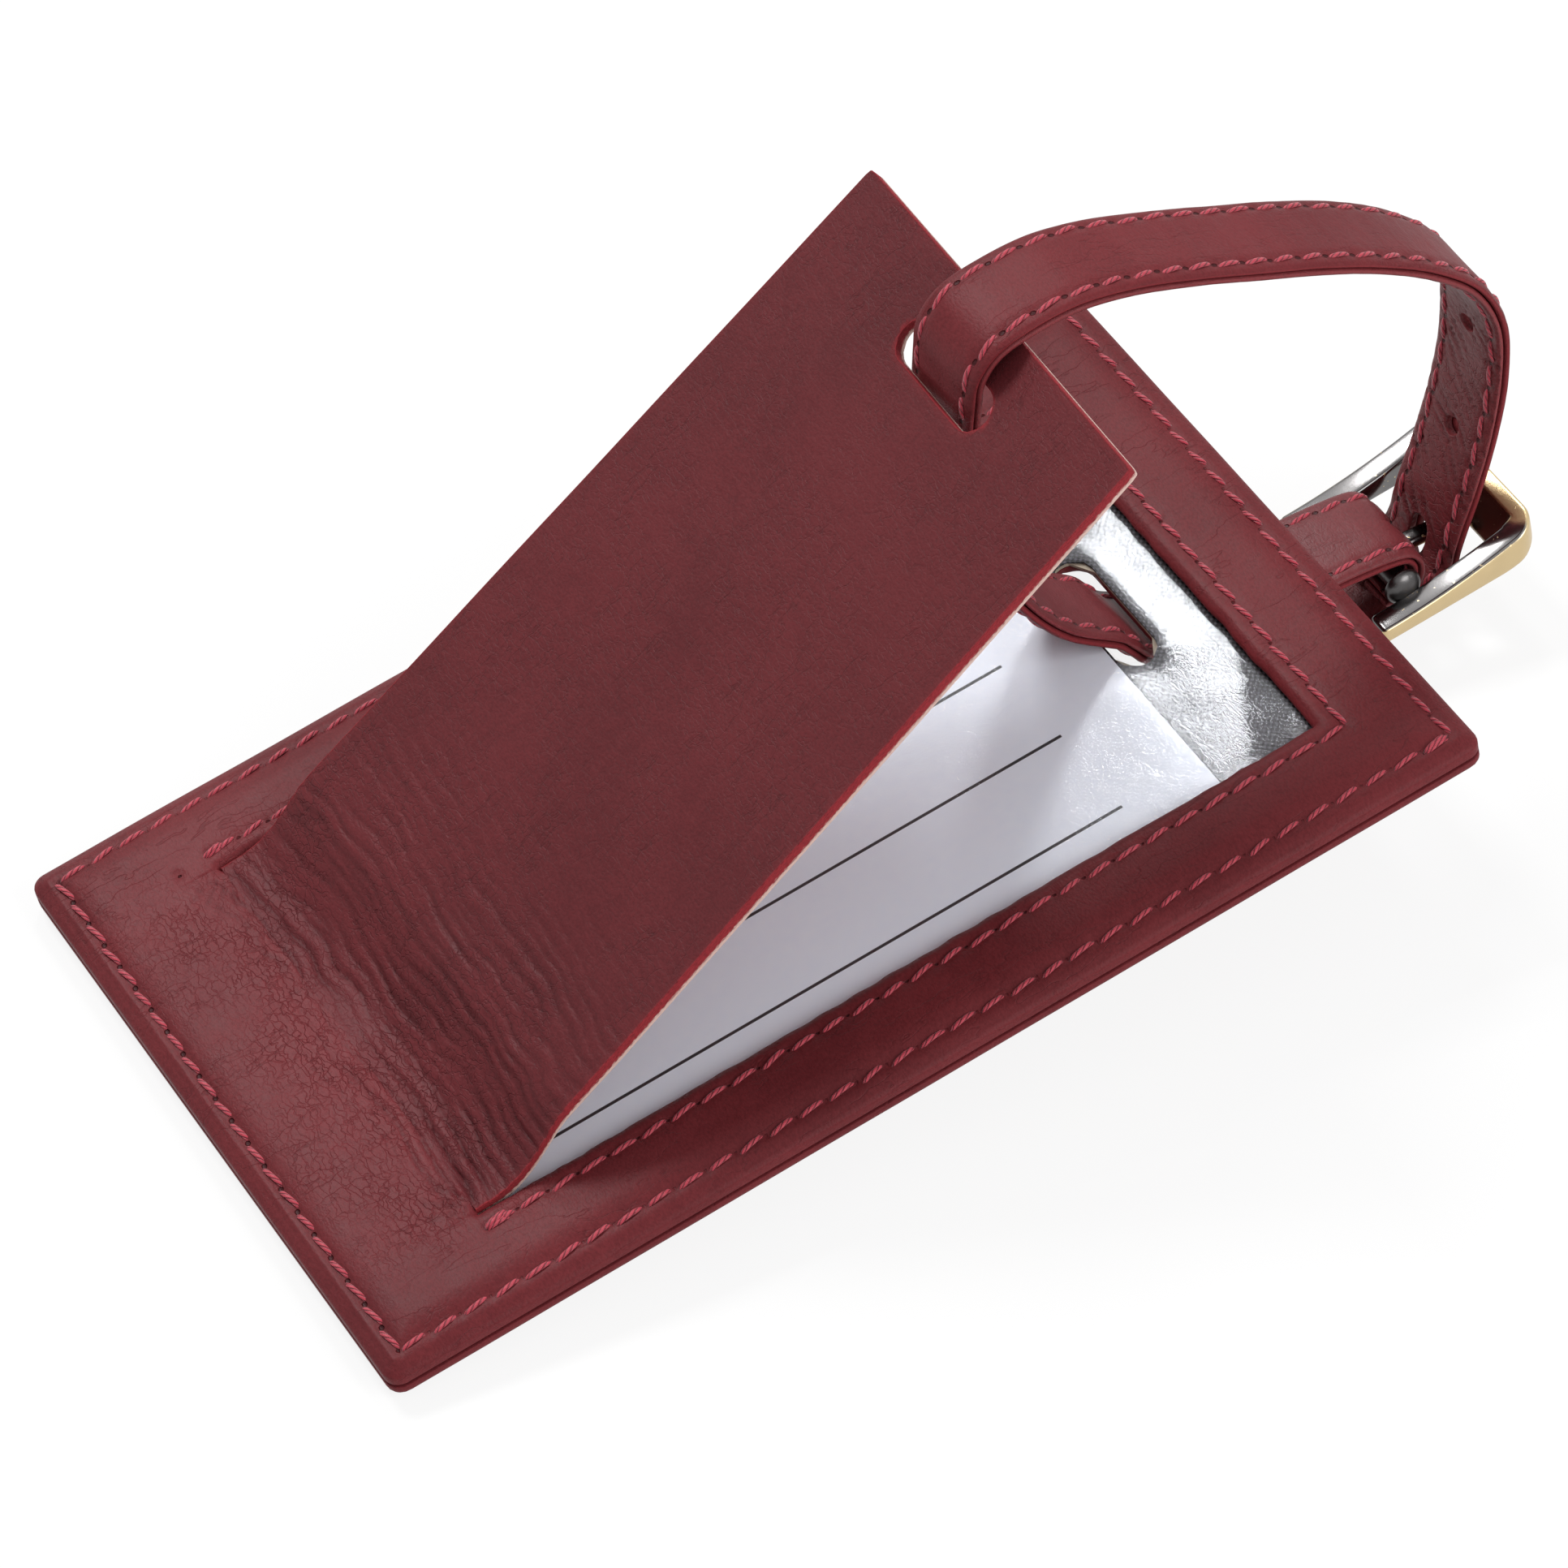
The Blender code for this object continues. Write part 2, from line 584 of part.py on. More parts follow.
bevel(buckle_frame, FRAME_ROUNDING)
cut(buckle_frame, bar_sockets)
for cutter in (frame_opening, bar_sockets):
    cutter.parent = bar_axis

bar_end = socket_reach - PIECE_GAP
collar_out = LEG_INSIDE - PIECE_GAP
collar_in = collar_out - COLLAR_WIDTH
far_half = [
    (0.0, bar_end), (BAR_RADIUS, bar_end), (BAR_RADIUS, collar_out), (COLLAR_RADIUS, collar_out),
    (COLLAR_RADIUS, collar_in), (BAR_RADIUS, collar_in),
]
bar_profile = far_half + [(radius, -along) for radius, along in reversed(far_half)]
bar_mesh = bpy.data.meshes.new("buckle_bar")
bar_mesh.from_pydata(
    [(x, y, 0.0) for x, y in bar_profile], [(i, i + 1) for i in range(len(bar_profile) - 1)], []
)
buckle_bar = bpy.data.objects.new("buckle_bar", bar_mesh)
parts.objects.link(buckle_bar)
turning = buckle_bar.modifiers.new("turned", "SCREW")
turning.axis = "Y"
turning.steps = 20
turning.render_steps = 20
turning.use_merge_vertices = True
turning.merge_threshold = 1e-6
turning.use_normal_calculate = True
turning.use_normal_flip = True

ring_start = atan2(PRONG_TOP, (PRONG_RING_RADIUS ** 2 - PRONG_TOP ** 2) ** 0.5)
PRONG_LOW = PRONG_TOP - PRONG_HEIGHT
ring_stop = atan2(PRONG_LOW, (PRONG_RING_RADIUS ** 2 - PRONG_LOW ** 2) ** 0.5) + 2 * pi
ring_angles = [ring_start + (ring_stop - ring_start) * step / 18 for step in range(19)]
prong_tip = PRONG_HEIGHT / 3
prong_side = [(PRONG_RING_RADIUS * cos(a), PRONG_RING_RADIUS * sin(a)) for a in ring_angles] + [
    (PRONG_REACH - prong_tip, PRONG_LOW), (PRONG_REACH, PRONG_LOW + prong_tip),
    (PRONG_REACH, PRONG_TOP - prong_tip), (PRONG_REACH - prong_tip, PRONG_TOP),
]
dropped = Matrix.Rotation(-PRONG_DROP, 2)
prong_outline = [dropped @ Vector(point) for point in prong_side]
buckle_prong = plate("buckle_prong", [prong_outline, socket_circle], -PRONG_WIDTH / 2, PRONG_WIDTH / 2, True)
dress(buckle_frame, bar_axis, PALE_GOLD, 0.25, 1.0)
dress(buckle_bar, bar_axis, DARK_NICKEL, 0.2, 1.0)
dress(buckle_prong, bar_axis, PALE_GOLD, 0.28, 1.0)

# The tag rests on its hinge end's lower edge and on the lowest place of the strap's tail
tail_low = route[int(np.argmin(route[:, 1]))]
REST_LEAN = atan2(STRAP_THICKNESS / 2 - tail_low[1], tail_low[0] + HALF_LENGTH)
rest.rotation_euler.y = -REST_LEAN
bpy.context.view_layer.update()
graph = bpy.context.evaluated_depsgraph_get()
corners = []
for piece in parts.objects:
    if piece.type == "MESH":
        solid = piece.evaluated_get(graph).to_mesh()
        corners.extend(piece.matrix_world @ vertex.co for vertex in solid.vertices)
corners = np.array(corners)
lowest = corners.min(axis=0)
highest = corners.max(axis=0)
rest.location = (-(lowest[0] + highest[0]) / 2, 0, -lowest[2])
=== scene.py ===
import json

import bmesh
import bpy
import numpy as np
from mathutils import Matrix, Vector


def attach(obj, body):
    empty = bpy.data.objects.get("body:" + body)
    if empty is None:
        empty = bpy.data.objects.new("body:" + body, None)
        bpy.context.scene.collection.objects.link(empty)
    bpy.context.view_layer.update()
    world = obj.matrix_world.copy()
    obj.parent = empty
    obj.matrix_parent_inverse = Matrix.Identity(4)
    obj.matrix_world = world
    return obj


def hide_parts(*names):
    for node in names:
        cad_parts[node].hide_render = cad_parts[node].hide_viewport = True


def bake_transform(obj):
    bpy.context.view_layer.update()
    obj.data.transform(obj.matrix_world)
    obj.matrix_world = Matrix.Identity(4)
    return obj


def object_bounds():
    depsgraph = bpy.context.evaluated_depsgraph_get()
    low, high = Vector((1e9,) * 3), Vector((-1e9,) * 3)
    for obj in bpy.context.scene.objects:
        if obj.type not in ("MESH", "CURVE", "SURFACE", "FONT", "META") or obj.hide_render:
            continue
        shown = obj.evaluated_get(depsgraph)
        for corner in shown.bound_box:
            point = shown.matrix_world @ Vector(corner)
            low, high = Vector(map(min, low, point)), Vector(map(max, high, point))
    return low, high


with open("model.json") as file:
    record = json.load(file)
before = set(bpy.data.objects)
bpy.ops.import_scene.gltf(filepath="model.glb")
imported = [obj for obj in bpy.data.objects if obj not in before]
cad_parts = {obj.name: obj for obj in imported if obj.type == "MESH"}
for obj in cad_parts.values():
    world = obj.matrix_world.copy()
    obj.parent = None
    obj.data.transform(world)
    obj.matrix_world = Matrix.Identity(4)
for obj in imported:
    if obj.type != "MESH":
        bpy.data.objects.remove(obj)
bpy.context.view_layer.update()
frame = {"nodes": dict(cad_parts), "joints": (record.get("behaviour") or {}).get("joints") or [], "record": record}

# Back panel
# A plain piece of oxblood leather, as big as the tag, with the strap's slot punched through it.
# It is the lowest layer of the tag, and one seam all round holds it to the front panel.

MM = 0.001
back_face = next(mount for mount in frame["record"]["mounts"] if mount["name"] == "back_face")
TAG_ORIGIN = np.array(back_face["pos_m"])
TAG_UP = -np.array(back_face["axis"])
TAG_ACROSS = np.array((0.0, 1.0, 0.0))
TAG_AXES = np.stack((np.cross(TAG_ACROSS, TAG_UP), TAG_ACROSS, TAG_UP))


def in_row(places):
    """Places in the tag's frame, in millimetres, as places in the row frame, in metres.

    The tag's frame starts at the middle of its back face, with X towards the strap end and Z out
    of the front.
    """
    return TAG_ORIGIN + MM * (np.asarray(places, dtype=float) @ TAG_AXES)


def in_tag(places):
    """Places in the row frame, in metres, as places in the tag's frame, in millimetres."""
    return (np.asarray(places, dtype=float) - TAG_ORIGIN) @ TAG_AXES.T / MM


def reach_of(node):
    """The lowest and the highest corner of a CAD node in the tag's frame."""
    mesh = frame["nodes"][node].data
    places = np.empty(3 * len(mesh.vertices))
    mesh.vertices.foreach_get("co", places)
    places = in_tag(places.reshape(-1, 3))
    return places.min(axis=0), places.max(axis=0)


def grid_faces(rows, columns, ring_of_columns=False):
    """The four corners of every cell of a grid whose last column may meet its first."""
    row = np.arange(rows - 1)[:, None]
    column = np.arange(columns if ring_of_columns else columns - 1)[None, :]
    next_column = (column + 1) % columns
    corners = (
        row * columns + column, (row + 1) * columns + column,
        (row + 1) * columns + next_column, row * columns + next_column,
    )
    return np.stack(np.broadcast_arrays(*corners), axis=-1)


WELD = 1e-7
SMOOTH_UP_TO = np.radians(50)


def new_piece(name, places, face_groups, **marks):
    """A closed mesh from places in the tag's frame, welded, with its faces turned outwards.

    Each group of faces is an array of corner numbers. Each mark gives a number or a vector for every
    place, and the piece's material reads it by its name.
    """
    used = np.unique(np.concatenate([group.ravel() for group in face_groups]))
    number = np.zeros(len(places), dtype=int)
    number[used] = np.arange(len(used))
    faces = [face for group in face_groups for face in number[group].tolist()]
    mesh = bpy.data.meshes.new(name)
    mesh.from_pydata(in_row(places[used]).tolist(), [], faces)
    for mark, values in marks.items():
        values = np.asarray(values, dtype=np.float32)[used]
        kind, field = ("FLOAT_VECTOR", "vector") if values.ndim == 2 else ("FLOAT", "value")
        mesh.attributes.new(mark, kind, "POINT").data.foreach_set(field, values.ravel())
    shell = bmesh.new()
    shell.from_mesh(mesh)
    bmesh.ops.remove_doubles(shell, verts=shell.verts, dist=WELD)
    bmesh.ops.recalc_face_normals(shell, faces=shell.faces)
    shell.to_mesh(mesh)
    shell.free()
    mesh.shade_smooth()
    mesh.set_sharp_from_angle(angle=SMOOTH_UP_TO)
    piece = bpy.data.objects.new(name, mesh)
    bpy.context.scene.collection.objects.link(piece)
    return piece


EDGE_LINES = 6


def lines(low, high, step, crowd_low=0.0, crowd_high=0.0):
    """Grid lines from low to high, about a step apart, crowded near the ends like a quarter circle."""
    bend = 1 - np.cos(np.linspace(0, np.pi / 2, EDGE_LINES))[:-1]
    inner_low = low + crowd_low
    inner_high = high - crowd_high
    count = max(2, int(round((inner_high - inner_low) / step)) + 1)
    groups = [np.linspace(inner_low, inner_high, count)]
    if crowd_low:
        groups.insert(0, low + crowd_low * bend)
    if crowd_high:
        groups.append((high - crowd_high * bend)[::-1])
    return np.concatenate(groups)


def side_by_side(*groups):
    """Groups of grid lines that meet end to end, as one list."""
    return np.concatenate([groups[0]] + [group[1:] for group in groups[1:]])


def sheet_faces(cells, joined):
    """The faces of a closed sheet: its upper face, its lower face and a wall where its cells end.

    cells says which cells of the grid hold material. joined marks the points that meet their
    neighbours across a cut, where no wall belongs. The upper points are numbered before the lower.
    """
    rows, columns = joined.shape
    below = rows * columns
    number = np.arange(below).reshape(rows, columns)
    upper = grid_faces(rows, columns)[cells]
    around = np.pad(cells, 1)
    ends_across = around[:-1, 1:-1] != around[1:, 1:-1]
    ends_along = around[1:-1, :-1] != around[1:-1, 1:]
    edges = np.vstack((
        np.stack((number[:, :-1], number[:, 1:]), axis=-1)[ends_across],
        np.stack((number[:-1], number[1:]), axis=-1)[ends_along],
    ))
    edges = edges[~joined.ravel()[edges].all(axis=1)]
    walls = np.column_stack((edges[:, 0], edges[:, 1], edges[:, 1] + below, edges[:, 0] + below))
    return [upper, upper[:, ::-1] + below, walls]


def slot_opening(along, half_length, half_width):
    """Half the width of a round-ended slot at a length along it from its middle, 0 past its ends."""
    past = np.maximum(np.abs(along) - (half_length - half_width), 0.0)
    return np.sqrt(np.maximum(half_width ** 2 - past ** 2, 0.0))


GIVE_BEFORE_SLOT = 0.25
GIVE_AFTER_SLOT = 0.5


def slotted_grid(x_before, x_after, y_lines, slot_x, half_width, half_length):
    """A grid parted along the line of a slot across it.

    It gives x, y, the cells that hold material, the joined points and each point's distance from the slot.
    Lines near the slot give way by its opening, less and less with distance from it.
    """
    opening = slot_opening(y_lines, half_length, half_width)
    from_before = (x_before[-1] - x_before) / (x_before[-1] - x_before[0])
    from_after = (x_after - x_after[0]) / (x_after[-1] - x_after[0])
    give_before = np.clip(1 - from_before / GIVE_BEFORE_SLOT, 0, 1)
    give_after = np.clip(1 - from_after / GIVE_AFTER_SLOT, 0, 1)
    x = np.vstack((
        x_before[:, None] - give_before[:, None] * opening,
        x_after[:, None] + give_after[:, None] * opening,
    ))
    y = np.broadcast_to(y_lines, x.shape)
    cells = np.ones((len(x) - 1, len(y_lines) - 1), dtype=bool)
    cells[len(x_before) - 1] = False
    joined = np.zeros(x.shape, dtype=bool)
    joined[len(x_before) - 1:len(x_before) + 1] = opening == 0
    past_end = np.maximum(np.abs(y) - (half_length - half_width), 0.0)
    distance = np.maximum(np.hypot(x - slot_x, past_end) - half_width, 0.0)
    return x, y, cells, joined, distance


def fullness(distance, radius):
    """How full a sheet is near its edge: a quarter circle from 0 at the edge to 1 at the radius."""
    return np.sqrt(1 - (1 - np.clip(distance / radius, 0, 1)) ** 2)


def bell(distance, reach):
    """A bell curve: 1 at no distance and about a third at the reach."""
    return np.exp(-(distance / reach) ** 2)


def round_corners(x, y, half_length, half_width, radius):
    """A rectangle's places with its corners drawn in to arcs.

    Each square about the middle of a corner's arc becomes a circle.
    """
    past_x = np.maximum(np.abs(x) - (half_length - radius), 0.0)
    past_y = np.maximum(np.abs(y) - (half_width - radius), 0.0)
    scale = np.maximum(past_x, past_y) / np.maximum(np.hypot(past_x, past_y), 1e-9)
    shrink = np.where((past_x > 0) & (past_y > 0), 1 - scale, 0.0)
    return x - np.sign(x) * past_x * shrink, y - np.sign(y) * past_y * shrink


WAVE_COUNT = 7
WAVE_HEIGHT = 0.25
SLOWEST_WAVE = 0.65
FASTEST_WAVE = 1.5


def waves(x, y, length, seed):
    """A smooth uneven height of about -1 to 1: sine waves of nearly one length in mixed directions."""
    dice = np.random.default_rng(seed)
    lowest = (0, 0, SLOWEST_WAVE)
    highest = (np.pi, 2 * np.pi, FASTEST_WAVE)
    height = np.zeros(np.broadcast(x, y).shape)
    for heading, phase, pace in dice.uniform(lowest, highest, (WAVE_COUNT, 3)):
        along = x * np.cos(heading) + y * np.sin(heading)
        height = height + np.sin(2 * np.pi * pace * along / length + phase)
    return WAVE_HEIGHT * height


STITCH_PITCH = 3.12
SEAM_CHANNEL = 0.16
CHANNEL_REACH = 0.5
NEEDLE_DENT = 0.16
DENT_REACH = 0.4


def even_pitch(length):
    """The stitch length nearest to the usual one that fits a row in whole stitches."""
    return length / round(length / STITCH_PITCH)


def row_of_stitches(off, along, half):
    """The distance off a straight row and the stitches along it, from its half length."""
    past_end = np.maximum(np.abs(along) - half, 0.0)
    return np.hypot(off, past_end), (along + half) / even_pitch(2 * half)


def nearest_row(*rows):
    """The distance off the nearest of several rows, and the number of stitches along that row."""
    off = np.stack([row[0] for row in rows])
    count = np.stack([row[1] for row in rows])
    nearest = np.argmin(off, axis=0)[None]
    return np.take_along_axis(off, nearest, 0)[0], np.take_along_axis(count, nearest, 0)[0]


def seam_dent(off, count):
    """How far a seam draws the leather down: a channel along the row, and a dent at each needle hole."""
    to_hole = STITCH_PITCH * (count - np.round(count))
    return SEAM_CHANNEL * bell(off, CHANNEL_REACH) + NEEDLE_DENT * bell(np.hypot(off, to_hole), DENT_REACH)


def seam_mark(off, count, above, below):
    """The seam mark of a sheet: distance off a row, stitches along it, and whether that face has holes."""
    return stacked(off, count, 0 * off + above, 0 * off + below)


class Tone:
    """A value in a material's nodes. Sums and products of tones add Math nodes to the same tree."""

    def __init__(self, tree, socket=None):
        self.tree = tree
        self.socket = socket

    def node(self, kind, settings=None, sockets=None, output=0):
        """Adds a node, sets its settings and then its sockets' values or links, and gives one output."""
        made = self.tree.nodes.new("ShaderNode" + kind)
        for key, value in (settings or {}).items():
            setattr(made, key, value)
        for key, value in (sockets or {}).items():
            if isinstance(value, Tone):
                self.tree.links.new(value.socket, made.inputs[key])
            else:
                made.inputs[key].default_value = value
        return Tone(self.tree, made.outputs[output])

    def math(self, operation, first, second=0.0):
        return self.node("Math", {"operation": operation}, {0: first, 1: second})

    def __add__(self, other):
        return self.math("ADD", self, other)

    def __sub__(self, other):
        return self.math("SUBTRACT", self, other)

    def __rsub__(self, other):
        return self.math("SUBTRACT", other, self)

    def __mul__(self, other):
        return self.math("MULTIPLY", self, other)

    __radd__ = __add__
    __rmul__ = __mul__

    def mark(self, name, output="Fac"):
        """A mark that the piece's mesh carries."""
        return self.node("Attribute", {"attribute_name": name}, output=output)

    def parts(self, vector):
        """The three parts of a vector."""
        return [self.node("SeparateXYZ", sockets={"Vector": vector}, output=axis) for axis in "XYZ"]

    def noise(self, vector, scale, detail=2.0):
        """Cloudy noise from 0 to 1."""
        return self.node("TexNoise", sockets={"Vector": vector, "Scale": scale, "Detail": detail})

    def step(self, value, low, high):
        """0 where a value is under low, 1 where it is over high, and smooth between."""
        ends = {"Value": value, "From Min": low, "From Max": high}
        return self.node("MapRange", {"interpolation_type": "SMOOTHSTEP"}, ends)

    def mix(self, share, first, second):
        """A colour that goes from the first to the second with the share."""
        return self.node("Mix", {"data_type": "RGBA"}, {0: share, 6: first, 7: second}, 2)

    def stretch(self, vector, factors):
        """A vector with each axis multiplied by its factor."""
        return self.node("VectorMath", {"operation": "MULTIPLY"}, {0: vector, 1: factors})

    def shift(self, vector, noise_scale, amount):
        """A vector pushed about by coloured noise."""
        push = self.node("TexNoise", sockets={"Vector": vector, "Scale": noise_scale}, output="Color")
        push = self.node("VectorMath", {"operation": "SUBTRACT"}, {0: push, 1: (0.5, 0.5, 0.5)})
        values = {0: push, 1: (amount,) * 3, 2: vector}
        return self.node("VectorMath", {"operation": "MULTIPLY_ADD"}, values)

    def bump(self, height, depth):
        """A normal that follows a height of 0 to 1, worth a depth in millimetres."""
        return self.node("Bump", sockets={"Height": height, "Distance": depth * MM, "Strength": 1.0})


def new_material(name, roughness=0.5, **plain):
    """A Principled material with plain values on its sockets, its shader and a tone to start nodes from."""
    material = bpy.data.materials.new(name)
    material.use_nodes = True
    shader = material.node_tree.nodes["Principled BSDF"]
    shader.inputs["Roughness"].default_value = roughness
    for socket, value in plain.items():
        shader.inputs[socket.replace("_", " ")].default_value = value
    return material, shader, Tone(material.node_tree)


def feed(shader, **tones):
    """Links tones to the shader's sockets, with _ for a space in a socket's name."""
    for socket, tone in tones.items():
        tone.tree.links.new(tone.socket, shader.inputs[socket.replace("_", " ")])


def colour(red, green, blue):
    """A colour written as a picture shows it, 0 to 255, as the plain light that the shader takes."""
    shown = np.array((red, green, blue)) / 255
    light = np.where(shown <= 0.04045, shown / 12.92, ((shown + 0.055) / 1.055) ** 2.4)
    return (*light.tolist(), 1.0)


def scaled(tint, share):
    """A colour with its light multiplied by a share."""
    return tuple(share * part for part in tint[:3]) + (1.0,)


NEEDLE_HOLE_HALF_WIDTH = 0.27
NEEDLE_HOLE_HALF_LENGTH = 0.36
HAIRLINE_WIDTH = 0.014
CRACK_WIDTH = 0.075
GRAIN_DEPTH = 0.12
SOFT_GLOSS = 0.11
PALE_RIM = colour(206, 176, 166)


def leather(name, body, dark, raw, gloss=SOFT_GLOSS):
    """Smooth aniline leather: cloudy colour, nap, hairlines, cracks, painted fold shade and red cut edges.

    It reads the marks flat (the place on the hide in millimetres), crease (how worked it is), valley (how
    deep in a fold), seam (its needle holes), raw (cut edges) and rim (the pale lower rim of a cut).
    Hairlines are the contour lines of noise that is drawn out along them. The cracks are the edges of a net
    of cells. Fold valleys and needle holes are painted dark as shade, and the ridges of worked leather are
    painted lighter, partly as wear and partly as a painted highlight.
    """
    material, shader, tone = new_material(name, Specular_IOR_Level=gloss)
    flat = tone.mark("flat", "Vector")
    crease = tone.mark("crease")
    valley = tone.mark("valley")
    edge = tone.mark("raw")
    rim = tone.mark("rim")
    off_row, stitches, has_holes = tone.parts(tone.mark("seam", "Vector"))
    off_row = off_row * (1 / NEEDLE_HOLE_HALF_WIDTH)
    to_hole = tone.math("PINGPONG", stitches, 0.5) * (STITCH_PITCH / NEEDLE_HOLE_HALF_LENGTH)
    hole = (1 - tone.step(off_row * off_row + to_hole * to_hole, 0.3, 1.0)) * has_holes
    cloud = tone.noise(flat, 0.06, 4.0)
    mottle = tone.noise(flat, 0.5, 3.0)
    nap = tone.noise(tone.stretch(flat, (1.0, 0.55, 1.0)), 4.5, 3.0)
    fibre = tone.noise(tone.stretch(flat, (1.0, 1.0, 5.0)), 2.4, 4.0)
    bent = tone.shift(flat, 0.35, 1.6)
    wrinkle = tone.noise(tone.stretch(bent, (1.3, 0.28, 1.0)), 1.1, 3.0)
    patch = tone.step(tone.noise(flat, 0.16, 2.0), 0.3, 0.62)
    contour = tone.noise(tone.stretch(bent, (0.24, 1.0, 1.0)), 0.42, 3.0) - 0.5
    hairline = (1 - tone.step(tone.math("ABSOLUTE", contour), 0.0, HAIRLINE_WIDTH)) * patch
    net = tone.stretch(tone.shift(flat, 0.8, 1.5), (1.3, 0.42, 1.0))
    cell = tone.node(
        "TexVoronoi", {"feature": "DISTANCE_TO_EDGE"}, {"Vector": net, "Scale": 1.1}, "Distance"
    )
    crack = (1 - tone.step(cell, 0.0, CRACK_WIDTH)) * (patch * 0.8 + 0.2)
    shade = tone.mix(tone.step(cloud * 0.5 + mottle * 0.25 + nap * 0.25, 0.34, 0.64), dark, body)
    # Ridges of worked leather are painted lighter: partly wear, partly a painted highlight on the folds.
    shade = tone.mix(tone.step(valley, 0.22, 0.02) * crease * 0.35, shade, scaled(body, 1.35))
    # Painted shade: fold valleys are darkened here, along with the real cracks and hairlines.
    lines_and_fold_shade = crack * (crease * 0.16 + 0.04) + tone.step(valley, 0.12, 0.7) * 0.42 + hairline * 0.24
    shade = tone.mix(lines_and_fold_shade + tone.step(nap, 0.62, 0.3) * 0.16, shade, scaled(dark, 0.35))
    # Painted shade: the needle holes are darkened nearly to black.
    shade = tone.mix(hole * 0.75, shade, scaled(dark, 0.08))
    shade = tone.mix(edge * tone.step(fibre, 0.15, 0.6), shade, raw)
    shade = tone.mix(tone.step(rim + fibre * 0.6, 0.9, 1.12), shade, PALE_RIM)
    height = nap * 0.3 + mottle * 0.3 - crack * (crease * 0.4 + 0.05) + wrinkle * (crease * 1.1 + 0.15)
    height = height - hairline * 0.18 - hole * 1.5 + fibre * edge * 0.9
    feed(
        shader, Base_Color=shade, Normal=tone.bump(height, GRAIN_DEPTH),
        Roughness=0.38 + mottle * 0.14 + edge * 0.3 + lines_and_fold_shade * 0.15,
    )
    return material


OXBLOOD = colour(106, 40, 44)
DEEP_OXBLOOD = colour(92, 33, 37)
RAW_EDGE = colour(142, 44, 50)

back_low, back_high = reach_of("back_panel")
HALF_LENGTH, HALF_WIDTH = back_high[:2]
CORNER_RADIUS = 1.6
LEATHER_ROUNDING = 0.5
SEAM_INSET = 2.2
BODY_SLOT_X = 38.4
BODY_SLOT_HALF_WIDTH = 2.1
SLOT_HALF_LENGTH = 7.5
SEAM_X = HALF_LENGTH - SEAM_INSET
SEAM_Y = HALF_WIDTH - SEAM_INSET
BACK_STEP = 0.62
BACK_SWELL = 0.04
BACK_SWELL_LENGTH = 23
BACK_RAW_REACH = 0.25
BACK_RAW = 0.12


def perimeter_rows(x, y):
    """The rows of the seam round the tag's edge, along its short and its long sides."""
    return row_of_stitches(SEAM_X - np.abs(x), y, SEAM_Y), row_of_stitches(SEAM_Y - np.abs(y), x, SEAM_X)


def lines_across(half_width, step, crowd):
    """Grid lines across a sheet, crowded at its edges and at the ends of the strap's slot."""
    return side_by_side(
        lines(-half_width, -SLOT_HALF_LENGTH, step, crowd),
        lines(-SLOT_HALF_LENGTH, SLOT_HALF_LENGTH, step, crowd, crowd),
        lines(SLOT_HALF_LENGTH, half_width, step, 0.0, crowd),
    )


def body_grid(low_x, high_x, half_width, step, crowd):
    """The slotted grid of a layer of the body, which the strap goes through."""
    before = lines(low_x, BODY_SLOT_X, step, crowd, crowd)
    after = lines(BODY_SLOT_X, high_x, step, crowd, crowd)
    across = lines_across(half_width, step, crowd)
    return slotted_grid(before, after, across, BODY_SLOT_X, BODY_SLOT_HALF_WIDTH, SLOT_HALF_LENGTH)


def listed(*axes):
    """Places or vectors from arrays of their three parts, as one list."""
    return np.stack(np.broadcast_arrays(*axes), axis=-1).reshape(-1, 3)


def stacked(x, y, top, bottom):
    """The upper and then the lower places of a sheet as one list."""
    return np.vstack((listed(x, y, top), listed(x, y, bottom)))


def both_faces(upper, lower=None):
    """A mark's values for a sheet's upper and then its lower places."""
    lower = upper if lower is None else lower
    return np.concatenate((np.ravel(upper), np.ravel(lower)))


def edge_inset(x, y):
    """How far a place lies inside the tag's edge."""
    return np.minimum(HALF_LENGTH - np.abs(x), HALF_WIDTH - np.abs(y))


x, y, cells, joined, to_slot = body_grid(-HALF_LENGTH, HALF_LENGTH, HALF_WIDTH, BACK_STEP, LEATHER_ROUNDING)
off, count = nearest_row(*perimeter_rows(x, y))
to_edge = np.minimum(edge_inset(x, y), to_slot)
full = fullness(to_edge, LEATHER_ROUNDING)
middle = (back_low[2] + back_high[2]) / 2
half = (back_high[2] - back_low[2]) / 2
dent = seam_dent(off, count) + BACK_SWELL * waves(x, y, BACK_SWELL_LENGTH, 11)
top = middle + half * (0.8 + 0.2 * full)
bottom = middle - (half - dent) * full
round_x, round_y = round_corners(x, y, HALF_LENGTH, HALF_WIDTH, CORNER_RADIUS)
back_panel = new_piece(
    "back_leather_panel", stacked(round_x, round_y, top, bottom), sheet_faces(cells, joined),
    flat=stacked(x, y, top, bottom), seam=seam_mark(off, count, 0, 1),
    raw=both_faces(BACK_RAW * bell(to_edge, BACK_RAW_REACH)),
)
back_leather = leather("oxblood_back_leather", OXBLOOD, DEEP_OXBLOOD, RAW_EDGE)
back_panel.data.materials.append(back_leather)
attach(back_panel, "tag")
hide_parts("back_panel")

# Stiffener board
# A thin grey board between the leathers keeps the tag flat. It is cut a little smaller than the
# leather, and its edge shows only in the strap's slot.


def layer(name, node, step, height=None):
    """A thin layer of the body between its CAD node's faces, with the strap's slot through it.

    The height, where there is one, gives the rise of both faces from a place and its distance to the slot.
    """
    low, high = reach_of(node)
    crowd = (high[2] - low[2]) / 2
    x, y, cells, joined, to_slot = body_grid(low[0], high[0], high[1], step, crowd)
    lift = height(x, y, to_slot) if height else 0 * x
    places = stacked(x, y, high[2] + lift, low[2] + lift)
    return new_piece(name, places, sheet_faces(cells, joined), flat=places)


